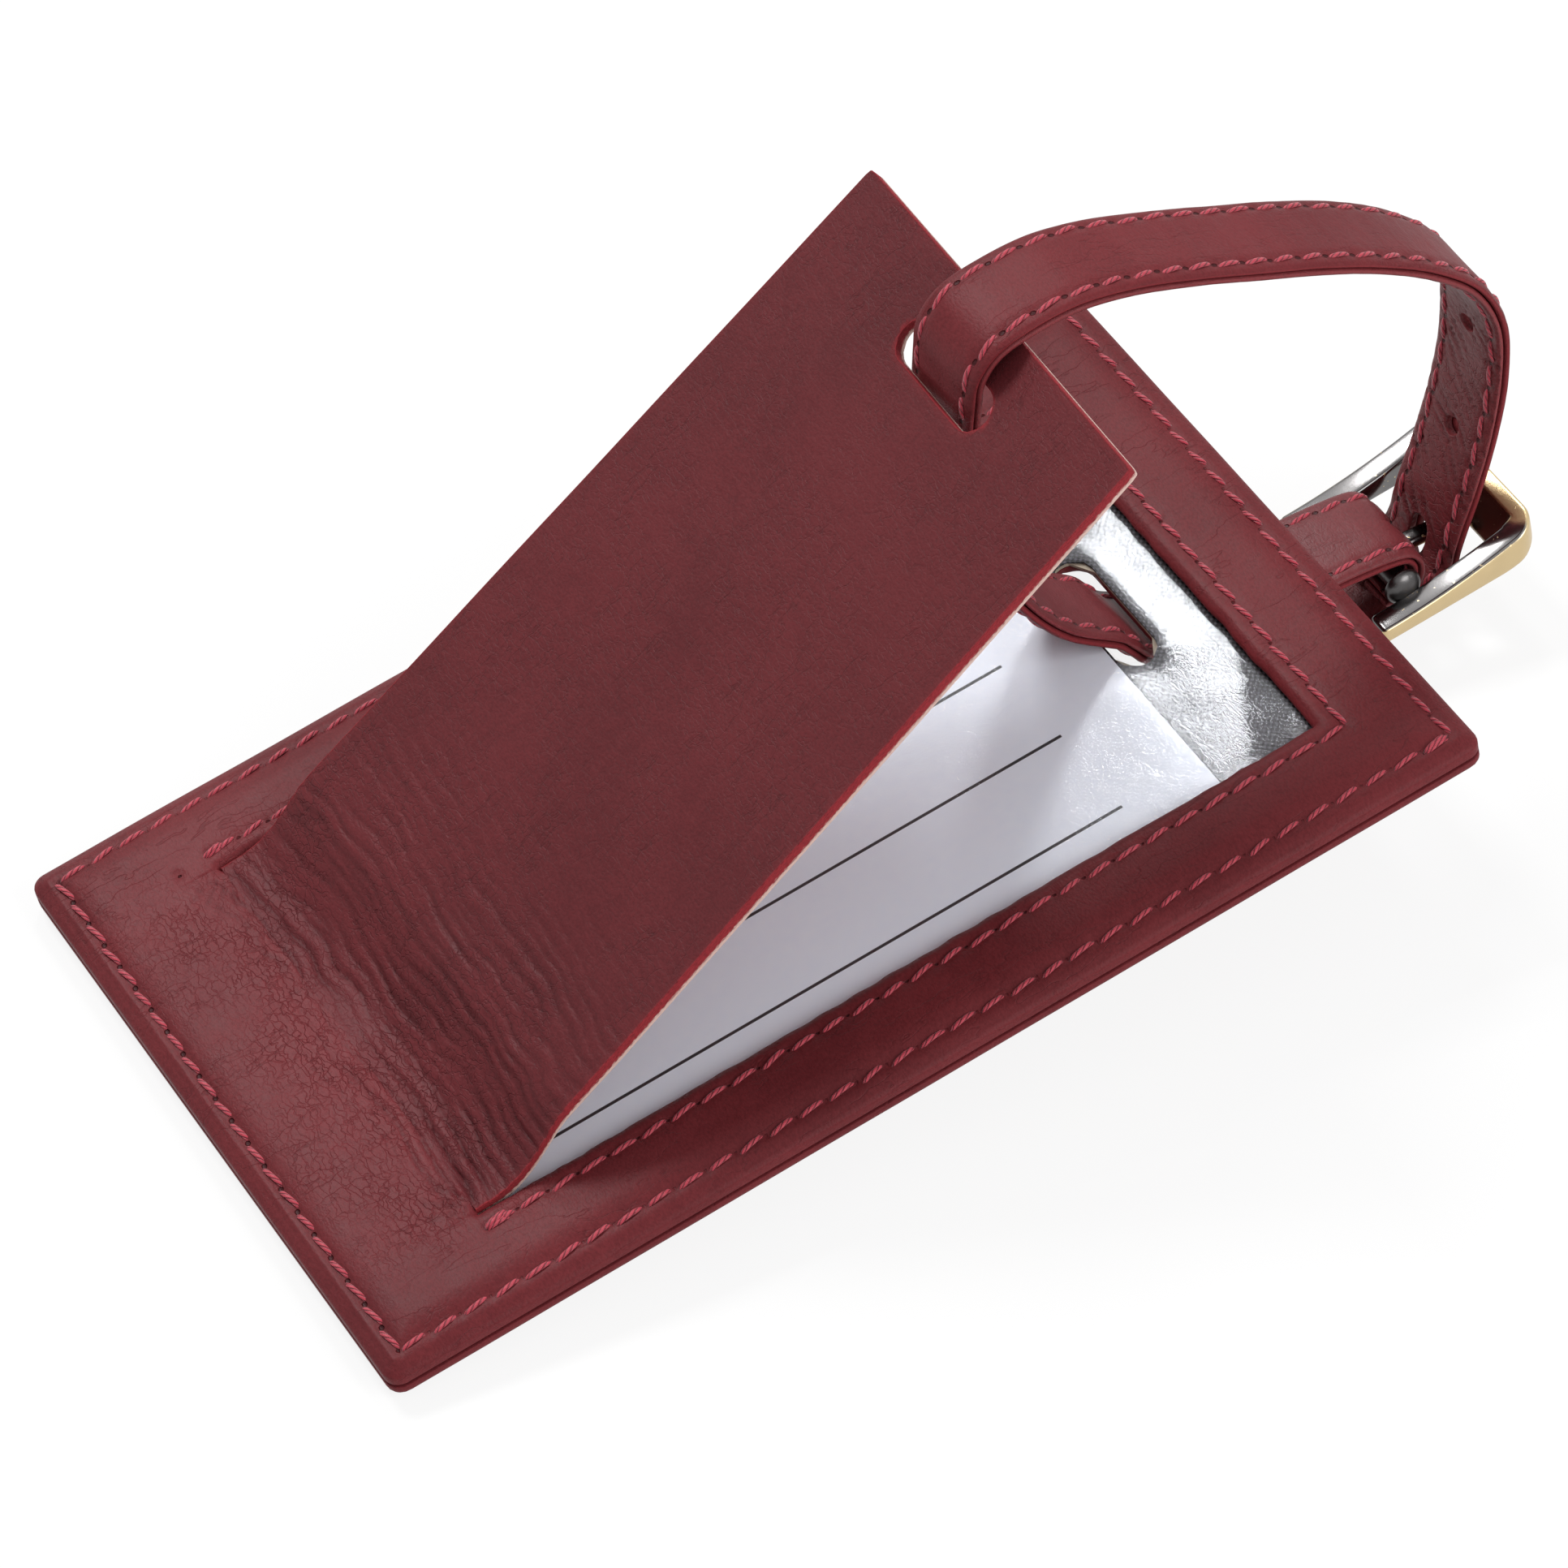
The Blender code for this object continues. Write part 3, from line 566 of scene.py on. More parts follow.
BOARD_STEP = 2.5
board = layer("stiffener_board_sheet", "stiffener_board", BOARD_STEP)
board_material, shader, tone = new_material("grey_board", 0.85)
speck = tone.noise(tone.mark("flat", "Vector"), 1.3, 5.0)
grey = tone.mix(speck, colour(140, 130, 115), colour(172, 162, 146))
feed(shader, Base_Color=grey, Normal=tone.bump(speck, 0.05))
board.data.materials.append(board_material)
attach(board, "tag")
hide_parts("stiffener_board")

# Lining
# A black woven cloth is stretched over the board. It shows through the film beyond the card.

LINING_STEP = 1.0
THREADS_PER_MM = 3.0
THREAD_RELIEF = 0.08
lining = layer("lining_weave", "lining_cloth", LINING_STEP)
lining_material, shader, tone = new_material("black_woven_lining", 0.7)
along, across, _ = tone.parts(tone.mark("flat", "Vector"))
warp = tone.math("SINE", along * (np.pi * THREADS_PER_MM))
weft = tone.math("SINE", across * (np.pi * THREADS_PER_MM))
weave = warp * weft * 0.5 + 0.5
black = tone.mix(tone.step(weave, 0.3, 0.9), colour(20, 19, 22), colour(74, 72, 80))
feed(shader, Base_Color=black, Normal=tone.bump(weave, THREAD_RELIEF))
lining.data.materials.append(lining_material)
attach(lining, "tag")
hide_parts("lining_cloth")
lining_low, lining_high = reach_of("lining_cloth")
LINING_CUT = MM * (lining_high - lining_low)[:2]

# Address card
# A loose card of white paper with ruled lines to write on. It lies on the lining under the film and
# slides in and out towards the hinge end.

card = frame["nodes"]["id_card"]
card_material, shader, tone = new_material("ruled_card", 0.6)
spot = tone.node("TexCoord", output="Object")
along_card = tone.node(
    "VectorMath", {"operation": "DOT_PRODUCT"}, {0: spot, 1: tuple(TAG_AXES[0] / MM)}, "Value"
) - float(TAG_ORIGIN @ TAG_AXES[0] / MM)
across_card = tone.parts(spot)[1] * (1 / MM)
RULE_GAP = 10.4
RULE_MIDDLE = 0.4
RULE_END = 27.5
RULE_HALF_WIDTH = 0.14
RULE_BLUR = 0.06
RULED_HALF_WIDTH = 2.2 * RULE_GAP
RULED_BLUR = 0.1
off_middle = across_card - RULE_MIDDLE
to_rule = tone.math("ABSOLUTE", tone.math("PINGPONG", off_middle + RULE_GAP * 4, RULE_GAP / 2))
on_rule = tone.step(to_rule, RULE_HALF_WIDTH + RULE_BLUR, RULE_HALF_WIDTH)
in_length = tone.step(along_card, RULE_END + RULED_BLUR, RULE_END)
in_rows = tone.step(tone.math("ABSOLUTE", off_middle), RULED_HALF_WIDTH, RULED_HALF_WIDTH - RULED_BLUR)
ink = on_rule * in_length * in_rows
pulp = tone.noise(tone.stretch(spot, (1 / MM,) * 3), 1.1, 5.0)
paper = tone.mix(pulp, colour(230, 238, 252), colour(240, 247, 255))
feed(shader, Base_Color=tone.mix(ink, paper, colour(34, 34, 38)), Normal=tone.bump(pulp, 0.02))
card.data.materials.clear()
card.data.materials.append(card_material)

# Window film
# A sheet of clear soft plastic under the window keeps the card dry. The seam round the window holds
# it, and the strap's slot through it leaves its strap end a little buckled.

WINDOW_END_X = 45.9
WINDOW_HALF_WIDTH = 24.3
CARD_END = reach_of("id_card")[1][0]
FILM_STEP = 0.7
FILM_HELD_X = 46.0
FILM_HELD_Y = 25.0
FILM_HELD_REACH = 8.0
FILM_SLACK = 0.012
FILM_BUCKLE = 0.03
BUCKLE_REACH = 9.0
FILM_LIP = 0.2
LIP_REACH = 1.1
FILM_FALL = 0.03
CORNER_LENGTH = 6.5
CORNER_WIDTH = 13.0


def film_height(x, y, to_slot):
    """The film's height off its flat place.

    Shallow waves grow towards the strap's slot, and lips curl up beside it. Past the card's end the film
    falls to the lining, and it rises again to the window's near corner.
    """
    held = fullness(np.minimum(FILM_HELD_X - np.abs(x), FILM_HELD_Y - np.abs(y)), FILM_HELD_REACH)
    lip = FILM_LIP * np.exp(-to_slot / LIP_REACH) * np.where(x > BODY_SLOT_X, 1.0, 0.4)
    slack = FILM_SLACK * waves(x, y, 30, 31)
    buckle = FILM_BUCKLE * bell(to_slot, BUCKLE_REACH) * waves(x, y, 9, 32)
    in_corner = np.clip(1 - (y + WINDOW_HALF_WIDTH) / CORNER_WIDTH, 0, 1)
    rises_from = WINDOW_END_X - CORNER_LENGTH * in_corner + 0.4 * waves(x, y, 3, 33)
    fall = FILM_FALL * np.maximum(np.minimum(x, 2 * rises_from - x) - CARD_END, 0.0)
    return held * (slack + buckle + lip) - fall


film = layer("window_film_sheet", "window_film", FILM_STEP, film_height)
film_material, shader, tone = new_material("clear_film", Alpha=0.03, Metallic=1.0)
flat = tone.mark("flat", "Vector")
haze = tone.noise(flat, 0.5, 5.0)
grit = tone.noise(flat, 3.2, 3.0)
ripple = tone.noise(flat, 0.16, 2.0)
feed(
    shader, Base_Color=tone.mix(haze, colour(238, 242, 248), colour(246, 249, 253)),
    Roughness=0.05 + haze * 0.06, Normal=tone.bump(ripple * 0.8 + grit * 0.09, 0.22),
)
film.data.materials.append(film_material)
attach(film, "tag")
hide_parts("window_film")

# Front panel
# One piece of oxblood leather with a window cut round three sides. The fourth side is the hinge,
# where the cut-out stays on as the flap. Its outer edge is rolled down by the seam.

front_low, front_high = reach_of("front_panel")


def joint_place(name):
    """A joint's place in the tag's frame."""
    joint = next(joint for joint in frame["joints"] if joint["name"] == name)
    return in_tag(joint["pos_m"])


HINGE_X, _, HINGE_Z = joint_place("flap_hinge")
FLAP_ROOT_X = HINGE_X - 0.5
WINDOW_SEAM_OFFSET = 2.05
WINDOW_SEAM_Y = WINDOW_HALF_WIDTH + WINDOW_SEAM_OFFSET
WINDOW_SEAM_X = WINDOW_END_X + WINDOW_SEAM_OFFSET
WINDOW_SEAM_START = HINGE_X - 0.6
FRONT_MIDDLE = 0.4
FRONT_ROUNDING = 0.45
FRONT_RAW_REACH = 0.2
WINDOW_ROUNDING = 0.9
WINDOW_ROLL = 0.25
WINDOW_RAGGED = 0.1
RAGGED_LENGTH = 4.5
RAGGED_REACH = 0.8
EDGE_ROLL = 0.2
EDGE_LINE = 0.95
EDGE_LINE_DEPTH = 0.1
EDGE_LINE_REACH = 0.25
BOARD_DROP = 0.52
BOARD_DROP_END = 4.8
BOARD_INSET = 1.4
EDGE_DROP = 0.5
WORKED_ON_FLAP = 22
WORKED_ON_PANEL = 9
CREASE_DEPTH = 0.56
CREASE_MIDDLE = 4
CREASED_ON_FLAP = 15
CREASED_ON_PANEL = 7
CREASE_SETS = ((1.6, 0.72, 5), (2.6, 0.42, 7), (1.05, 0.2, 9))
SPOKES = 9
SPOKE_REACH = 2.5
AWL_DOT = (-45.5, 25.8)


def smooth(share):
    """A share of 0 to 1 with a gentle start and end."""
    share = np.clip(share, 0, 1)
    return share ** 2 * (3 - 2 * share)


def edge_drop(inset):
    """How far the seam draws the front leather down: a slope over the board's edge and a step past it."""
    on_board = smooth((BOARD_DROP_END - inset) / (BOARD_DROP_END - BOARD_INSET))
    return BOARD_DROP * on_board + EDGE_DROP * smooth(1 - inset / BOARD_INSET)


def worked(x, y):
    """How much the hinge has worked the leather into a net of cracks: most beside it, on both its sides."""
    past = x - HINGE_X
    along = bell(past, np.where(past > 0, WORKED_ON_FLAP, WORKED_ON_PANEL))
    return along * np.clip((WINDOW_HALF_WIDTH + 4 - np.abs(y)) / 6, 0, 1)


def creases(x, y):
    """The fall of the leather in the folds at the hinge, 0 to about 1.

    Each of three sets of rounded ridges runs across the tag, with a sharp valley wherever a wavy phase
    passes a whole number. A set has its spacing, its share of the fall and its seed. They lie a little
    closer together towards the near side, and come and go along it. More folds spread like spokes from
    the end of each slit.
    """
    past = x - HINGE_X
    along = bell(past - CREASE_MIDDLE, np.where(past > CREASE_MIDDLE, CREASED_ON_FLAP, CREASED_ON_PANEL))
    nearer = np.clip(0.8 - 0.2 * y / WINDOW_HALF_WIDTH, 0, 1)
    between_slits = np.clip((WINDOW_HALF_WIDTH + 1.5 - np.abs(y)) / 3, 0, 1)
    fan = 1 + 0.14 * y / WINDOW_HALF_WIDTH
    wander = 0.9 * waves(0.3 * x, y, 26, 3) + 0.4 * waves(0.6 * x, y, 8, 4)
    fall = np.zeros(np.broadcast(x, y).shape)
    for spacing, share, seed in CREASE_SETS:
        phase = (past / fan + wander + 0.35 * waves(x, 0.5 * y, 9, seed)) / spacing + 0.13 * seed
        ridge = np.abs(np.sin(np.pi * phase)) ** 0.6
        here = np.clip(0.68 + 0.7 * waves(x, 0.4 * y, 7, seed + 20), 0, 1)
        fall = fall + share * (1 - ridge) * here
    aside = WINDOW_HALF_WIDTH - np.abs(y)
    distance = np.hypot(past, aside)
    spoke = np.abs(np.sin(SPOKES * np.arctan2(aside, -past) + 1.2 * waves(x, y, 7, 15))) ** 0.8
    spread = bell(distance - SPOKE_REACH, SPOKE_REACH)
    spread = spread * np.clip(0.5 - past / 2, 0, 1) * np.clip(0.5 + aside / 3, 0, 1)
    return fall * along * nearer * between_slits + 0.4 * (1 - spoke) * spread


def window_rows(x, y):
    """The rows of the seam round the window, along its two sides and its strap end."""
    middle = (WINDOW_SEAM_START + WINDOW_SEAM_X) / 2
    along_sides = row_of_stitches(np.abs(y) - WINDOW_SEAM_Y, x - middle, WINDOW_SEAM_X - middle)
    along_end = row_of_stitches(x - WINDOW_SEAM_X, y, WINDOW_SEAM_Y)
    return along_sides, along_end


FRONT_SWELL = 0.05
FRONT_SWELL_LENGTH = 21


def swell(x, y):
    """The slow unevenness of the front leather, which the flap shares."""
    return FRONT_SWELL * waves(x, y, FRONT_SWELL_LENGTH, 12)


FRONT_STEP = 0.48
CREASED_STEP = 0.2
x_lines = side_by_side(
    lines(-HALF_LENGTH, FLAP_ROOT_X, CREASED_STEP, FRONT_ROUNDING),
    lines(FLAP_ROOT_X, WINDOW_END_X, FRONT_STEP),
    lines(WINDOW_END_X, HALF_LENGTH, FRONT_STEP, WINDOW_ROUNDING, FRONT_ROUNDING),
)
y_far = lines(WINDOW_HALF_WIDTH, HALF_WIDTH, FRONT_STEP, WINDOW_ROUNDING, FRONT_ROUNDING)
y_lines = side_by_side(-y_far[::-1], lines(-WINDOW_HALF_WIDTH, WINDOW_HALF_WIDTH, FRONT_STEP), y_far)
x, y = np.meshgrid(x_lines, y_lines, indexing="ij")
cell_x = (x_lines[1:] + x_lines[:-1])[:, None] / 2
cell_y = (y_lines[1:] + y_lines[:-1])[None, :] / 2
cells = ~((cell_x > FLAP_ROOT_X) & (cell_x < WINDOW_END_X) & (np.abs(cell_y) < WINDOW_HALF_WIDTH))
inset = edge_inset(x, y)
awl_dot = (np.hypot(x - AWL_DOT[0], y - AWL_DOT[1]), 0 * x)
off, count = nearest_row(*perimeter_rows(x, y), *window_rows(x, y), awl_dot)
to_window = np.hypot(np.maximum(x - WINDOW_END_X, 0.0), np.maximum(np.abs(y) - WINDOW_HALF_WIDTH, 0.0))
to_slit = np.hypot(np.maximum(FLAP_ROOT_X - x, 0.0), np.abs(y) - WINDOW_HALF_WIDTH)
to_window = np.where(x <= FLAP_ROOT_X + 1e-6, to_slit, to_window)
full = np.minimum(0.55 + 0.45 * fullness(inset, FRONT_ROUNDING), fullness(to_window, WINDOW_ROUNDING))
edge_line = EDGE_LINE_DEPTH * bell(inset - EDGE_LINE, EDGE_LINE_REACH)
edge_roll = EDGE_ROLL * (1 - np.clip(inset / SEAM_INSET, 0, 1)) ** 2
window_roll = WINDOW_ROLL * (1 - np.clip(to_window / WINDOW_SEAM_OFFSET, 0, 1)) ** 2
# This fall is also the valley mark, which the leather paints as shade in the folds.
valley = creases(x, y)
dent = seam_dent(off, count) + edge_roll + edge_line + window_roll + CREASE_DEPTH * valley + swell(x, y)
middle = front_low[2] + FRONT_MIDDLE
top = middle + (front_high[2] - middle - dent) * full - edge_drop(inset)
bottom = middle - (middle - front_low[2]) * (0.75 + 0.25 * full) - edge_drop(inset)
round_x, round_y = round_corners(x, y, HALF_LENGTH, HALF_WIDTH, CORNER_RADIUS)
ragged = WINDOW_RAGGED * waves(x, y, RAGGED_LENGTH, 13) * np.exp(-to_window / RAGGED_REACH)
ragged = ragged * (x > FLAP_ROOT_X + 3)
round_x = round_x + ragged
round_y = round_y + ragged * np.sign(y)
raw = 0.1 * bell(inset, FRONT_RAW_REACH) + 0.45 * bell(to_window, FRONT_RAW_REACH)
front_panel = new_piece(
    "front_leather_panel", stacked(round_x, round_y, top, bottom),
    sheet_faces(cells, np.zeros(x.shape, dtype=bool)), flat=stacked(x, y, top, bottom),
    seam=seam_mark(off, count, 1, 0), raw=both_faces(raw), crease=both_faces(worked(x, y)),
    valley=both_faces(valley),
)
front_leather = leather("oxblood_front_leather", OXBLOOD, DEEP_OXBLOOD, RAW_EDGE)
front_panel.data.materials.append(front_leather)
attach(front_panel, "tag")
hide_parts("front_panel")

# Flap
# The piece of front leather inside the window's cut, left on at the hinge side and bent up there. The
# strap goes through a slot near its free end. Its cut edges are raw, and its underside is suede. Its
# oxblood is painted darker than the front panel's: painted shade on the lifted flap.

FLAP_LENGTH = 87.1
FLAP_HALF_WIDTH = 24.1
FLAP_SLOT_X = HINGE_X + 80.0
FLAP_SLOT_HALF_WIDTH = 2.2
FLAP_LIFT = np.radians(28.5)
NEAR_EDGE_LIFT = np.radians(1.8)
FAR_EDGE_DROP = np.radians(1.2)
BEND_END_X = HINGE_X + 10.0
FINE_END_X = HINGE_X + 34
FLAP_STEP = 0.6
PLAIN_STEP = 0.8
FLAP_ROUNDING = 0.18
FLAP_CORNER = 0.5
FLAP_FLARE = 0.16
FLARE_REACH = 0.6
FLARE_START = 10
CUT_EDGE_REACH = 0.12
FLAP_NET = 0.25
# A darker copy of the front panel's oxblood: painted shade on the lifted flap.
SHADED_FLAP_OXBLOOD = colour(97, 37, 41)
DEEP_SHADED_FLAP_OXBLOOD = colour(84, 31, 35)
HALF_LEATHER = (front_high[2] - front_low[2]) / 2


def bend_weight(x):
    """The share of the hinge's turn that a place takes: 0 before the bend, 1 past it, smooth between."""
    return smooth((x - FLAP_ROOT_X) / (BEND_END_X - FLAP_ROOT_X))


def lifted(x, y, height):
    """Places of the flat flap once it is lifted: each turns about the hinge by its share of the lift.

    The share is the one that the flap's bend gives at the lifted place, so closing the hinge brings the
    flap back flat. The near edge is lifted a little more than the far one.
    """
    twist = np.interp(y, (-FLAP_HALF_WIDTH, FLAP_HALF_WIDTH), (NEAR_EDGE_LIFT, -FAR_EDGE_DROP))
    away = x - HINGE_X
    up = height - HINGE_Z
    lifted_x = x
    for _ in range(12):
        turn = bend_weight(lifted_x) * (FLAP_LIFT + twist)
        lifted_x = HINGE_X + away * np.cos(turn) - up * np.sin(turn)
    return lifted_x, HINGE_Z + away * np.sin(turn) + up * np.cos(turn)


x_before = side_by_side(
    lines(FLAP_ROOT_X, FINE_END_X, CREASED_STEP),
    lines(FINE_END_X, FLAP_SLOT_X, PLAIN_STEP, 0.0, FLAP_ROUNDING),
)
x_after = lines(FLAP_SLOT_X, HINGE_X + FLAP_LENGTH, FLAP_STEP, FLAP_ROUNDING, FLAP_ROUNDING)
y_lines = lines_across(FLAP_HALF_WIDTH, FLAP_STEP, FLAP_ROUNDING)
x, y, cells, joined, to_slot = slotted_grid(
    x_before, x_after, y_lines, FLAP_SLOT_X, FLAP_SLOT_HALF_WIDTH, SLOT_HALF_LENGTH
)
to_side = np.minimum(FLAP_HALF_WIDTH - np.abs(y), HINGE_X + FLAP_LENGTH - x)
to_edge = np.minimum(to_side, to_slot)
square = 0.9 + 0.1 * fullness(to_edge, FLAP_ROUNDING)
flare = FLAP_FLARE * bell(to_edge, FLARE_REACH) * smooth((x - BEND_END_X) / FLARE_START)
# This fall is also the valley mark, which the leather paints as shade in the folds.
valley = creases(x, y)
dent = CREASE_DEPTH * valley + swell(x, y)
top = HINGE_Z + (HALF_LEATHER - dent) * square
bottom = HINGE_Z - HALF_LEATHER * square - flare
round_x, round_y = round_corners(x - HINGE_X, y, FLAP_LENGTH, FLAP_HALF_WIDTH, FLAP_CORNER)
top_x, top_z = lifted(HINGE_X + round_x, round_y, top)
bottom_x, bottom_z = lifted(HINGE_X + round_x, round_y, bottom)
places = np.vstack((listed(top_x, round_y, top_z), listed(bottom_x, round_y, bottom_z)))
cut_edge = bell(to_edge, CUT_EDGE_REACH)
flap = new_piece(
    "flap_leather", places, sheet_faces(cells, joined), flat=stacked(x, y, top, bottom),
    crease=both_faces(np.maximum(worked(x, y), FLAP_NET), 0 * x), valley=both_faces(valley, 0 * x),
    raw=both_faces(cut_edge, 0 * x + 1), rim=both_faces(0 * x, cut_edge),
)
flap_material = leather("shaded_oxblood_flap_leather", SHADED_FLAP_OXBLOOD, DEEP_SHADED_FLAP_OXBLOOD, RAW_EDGE)
flap.data.materials.append(flap_material)
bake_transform(flap)
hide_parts("flap")

# Seams of the body
# Crimson twisted thread in a lockstitch. One seam holds all the layers together round the edge, and
# one holds the film to the front panel round three sides of the window.

STITCH_SHARE = 0.96
THREAD_RADIUS = 0.25
STITCH_RISE = 0.14
STITCH_SINK = 0.22
STITCH_SLANT = np.radians(10)
STITCH_WANDER = 0.05
LENGTH_WANDER = 0.04
THREAD_FLATTENING = 0.8
RINGS = 7
SIDES = 8
NUMBER_STEP = 0.37
CRIMSON = colour(172, 52, 68)


def tube_faces(rings, sides):
    """The faces of a tube: those between its rings, and a cap at each end."""
    quads = grid_faces(rings, sides, ring_of_columns=True).reshape(-1, 4)
    first_ring = np.arange(sides)
    return [quads, np.array((first_ring, (rings - 1) * sides + first_ring))]


def stitch_row(starts, ends, outs, seed, lift=0.0):
    """A row of stitches, one from each start to each end: places, faces and marks.

    Each is a tube on a low arch out of one needle hole and into the next, thinner at its ends. The lift
    of each is added to its arch where the leather bends. All lie askew to the row by one slant. The
    strand mark holds the share of the way round the thread from its underside, the place along the
    stitch from -1 to 1, and a number that differs from stitch to stitch.
    """
    dice = np.random.default_rng(seed)
    count = len(starts)
    ways = ends - starts
    lengths = np.linalg.norm(ways, axis=1, keepdims=True)
    ways = ways / lengths
    sides = np.cross(outs, ways)
    slant = STITCH_SLANT + dice.normal(0, STITCH_WANDER, (count, 1))
    ways, sides = ways * np.cos(slant) + sides * np.sin(slant), sides * np.cos(slant) - ways * np.sin(slant)
    middles = (starts + ends) / 2 + sides * dice.normal(0, STITCH_WANDER, (count, 1))
    reach = lengths * STITCH_SHARE * dice.normal(1, LENGTH_WANDER, (count, 1)) / 2
    along = np.linspace(-1, 1, RINGS)[None, :, None, None]
    share = np.arange(SIDES)[None, None, :, None] / SIDES
    angle = 2 * np.pi * share - np.pi / 2
    spread = (slice(None), None, None, slice(None))
    arch = (STITCH_RISE + STITCH_SINK) * (1 - along ** 2) ** 0.6 - STITCH_SINK
    arch = arch + np.broadcast_to(lift, (count, 1))[spread] * (1 - along ** 2)
    thick = THREAD_RADIUS * (1 - 0.5 * along ** 4)
    out_by = arch + THREAD_FLATTENING * thick * np.sin(angle)
    places = (
        middles[spread] + ways[spread] * (reach[spread] * along)
        + sides[spread] * (thick * np.cos(angle)) + outs[spread] * out_by
    )
    first = (np.arange(count) * RINGS * SIDES)[:, None, None]
    faces = [(first + group).reshape(-1, group.shape[1]) for group in tube_faces(RINGS, SIDES)]
    number = np.arange(count)[:, None, None, None] * NUMBER_STEP
    strand = np.concatenate(np.broadcast_arrays(share, along, number), axis=-1)
    return places.reshape(-1, 3), faces, strand.reshape(-1, 3)


def together(rows):
    """Several rows of stitches as one: places, faces and marks."""
    places = []
    quads = []
    caps = []
    strands = []
    offset = 0
    for row_places, (row_quads, row_caps), row_strand in rows:
        places.append(row_places)
        quads.append(row_quads + offset)
        caps.append(row_caps + offset)
        strands.append(row_strand)
        offset += len(row_places)
    return np.vstack(places), [np.vstack(quads), np.vstack(caps)], np.vstack(strands)


def straight_row(start, end, out, seed):
    """A row of stitches from one needle hole to the next between two places."""
    start = np.array(start, dtype=float)
    end = np.array(end, dtype=float)
    count = int(round(np.linalg.norm(end - start) / STITCH_PITCH))
    holes = start + (end - start) * np.linspace(0, 1, count + 1)[:, None]
    outs = np.broadcast_to(np.array((0.0, 0.0, out)), (count, 3))
    return stitch_row(holes[:-1], holes[1:], outs, seed)


PLIES = 3
TWIST = 1.7


def thread_material(name):
    """Twisted polyester thread: bright plies with painted shade between them and at stitch ends by the holes."""
    material, shader, tone = new_material(name, 0.5, Sheen_Weight=0.2, Specular_IOR_Level=0.35)
    strand = tone.mark("strand", "Vector")
    around, along, number = tone.parts(strand)
    turn = around * PLIES + along * TWIST + number
    ply = tone.math("ABSOLUTE", tone.math("SINE", turn * np.pi))
    fuzz = tone.noise(tone.stretch(strand, (9.0, 5.0, 1.0)), 1.6, 3.0)
    # Painted shade: the dark colour in the grooves between the plies.
    shade = tone.mix(tone.step(ply + fuzz * 0.5, 0.3, 0.95), colour(112, 24, 38), CRIMSON)
    # Painted shade: each stitch darkens towards its ends, where it sinks into the needle holes.
    end = tone.step(tone.math("ABSOLUTE", along), 0.7, 1.0)
    shade = tone.mix(end * 0.85, shade, colour(66, 14, 22))
    feed(shader, Base_Color=shade, Normal=tone.bump(tone.step(ply, 0.0, 0.8) + fuzz * 0.35, 0.09))
    return material


def seam(name, rows, body, nodes):
    """A seam's stitches as one piece that rides on a body in place of the CAD threads."""
    places, faces, strand = together(rows)
    piece = new_piece(name, places, faces, strand=strand)
    piece.data.materials.append(thread_material("crimson_" + name))
    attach(piece, body)
    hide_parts(*nodes)


def ring_of_rows(height, out, seed):
    """The four rows of the seam round the tag at one height."""
    corners = [(-SEAM_X, -SEAM_Y), (SEAM_X, -SEAM_Y), (SEAM_X, SEAM_Y), (-SEAM_X, SEAM_Y)]
    rows = []
    for number, corner in enumerate(corners):
        following = corners[(number + 1) % 4]
        rows.append(straight_row((*corner, height), (*following, height), out, seed + number))
    return rows


WINDOW_SEAM_Z = front_high[2] - SEAM_CHANNEL
FRONT_SEAM_Z = WINDOW_SEAM_Z - float(edge_drop(SEAM_INSET))
BACK_SEAM_Z = back_low[2] + SEAM_CHANNEL
seam("perimeter_stitches_front", ring_of_rows(FRONT_SEAM_Z, 1.0, 41), "tag", ["perimeter_needle_thread"])
seam("perimeter_stitches_back", ring_of_rows(BACK_SEAM_Z, -1.0, 51), "tag", ["perimeter_bobbin_thread"])
window_corners = [
    (WINDOW_SEAM_START, -WINDOW_SEAM_Y, WINDOW_SEAM_Z), (WINDOW_SEAM_X, -WINDOW_SEAM_Y, WINDOW_SEAM_Z),
    (WINDOW_SEAM_X, WINDOW_SEAM_Y, WINDOW_SEAM_Z), (WINDOW_SEAM_START, WINDOW_SEAM_Y, WINDOW_SEAM_Z),
]
rows = []
for number, corner in enumerate(window_corners[:-1]):
    rows.append(straight_row(corner, window_corners[number + 1], 1.0, 61 + number))
TACK_LIFT = 0.16


def tack(hole, reach, width, seed):
    """Three stitches over one another that end a seam: they fan out along it from one needle hole."""
    fan = np.array((-1.0, 0.0, 1.0))[:, None]
    side = width * fan * np.array((0.0, 1.0, 0.0))
    lift = np.array((0.0, 0.0, TACK_LIFT)) * (1 - np.abs(fan))
    start = np.array(hole) + 0.25 * side + lift
    end = np.array(hole) + np.array((reach, 0.0, 0.0)) + side + lift
    return stitch_row(start, end, np.broadcast_to(np.array((0.0, 0.0, 1.0)), (3, 3)), seed)


rows.append(tack((WINDOW_SEAM_START - 0.4, -WINDOW_SEAM_Y, WINDOW_SEAM_Z), 2.9, 0.42, 64))
rows.append(tack((WINDOW_SEAM_START - 0.9, WINDOW_SEAM_Y, WINDOW_SEAM_Z), 2.7, 0.24, 65))
rows.append(tack((SEAM_X - 3.0, -SEAM_Y, FRONT_SEAM_Z), 2.9, 0.3, 66))
seam("window_stitches", rows, "tag", ["window_needle_thread"])

# Strap
# Two layers of the same leather sewn face to face along both edges. It hooks round the buckle's bar,
# goes up through the slots of tag and flap, arches over and comes down through the buckle.

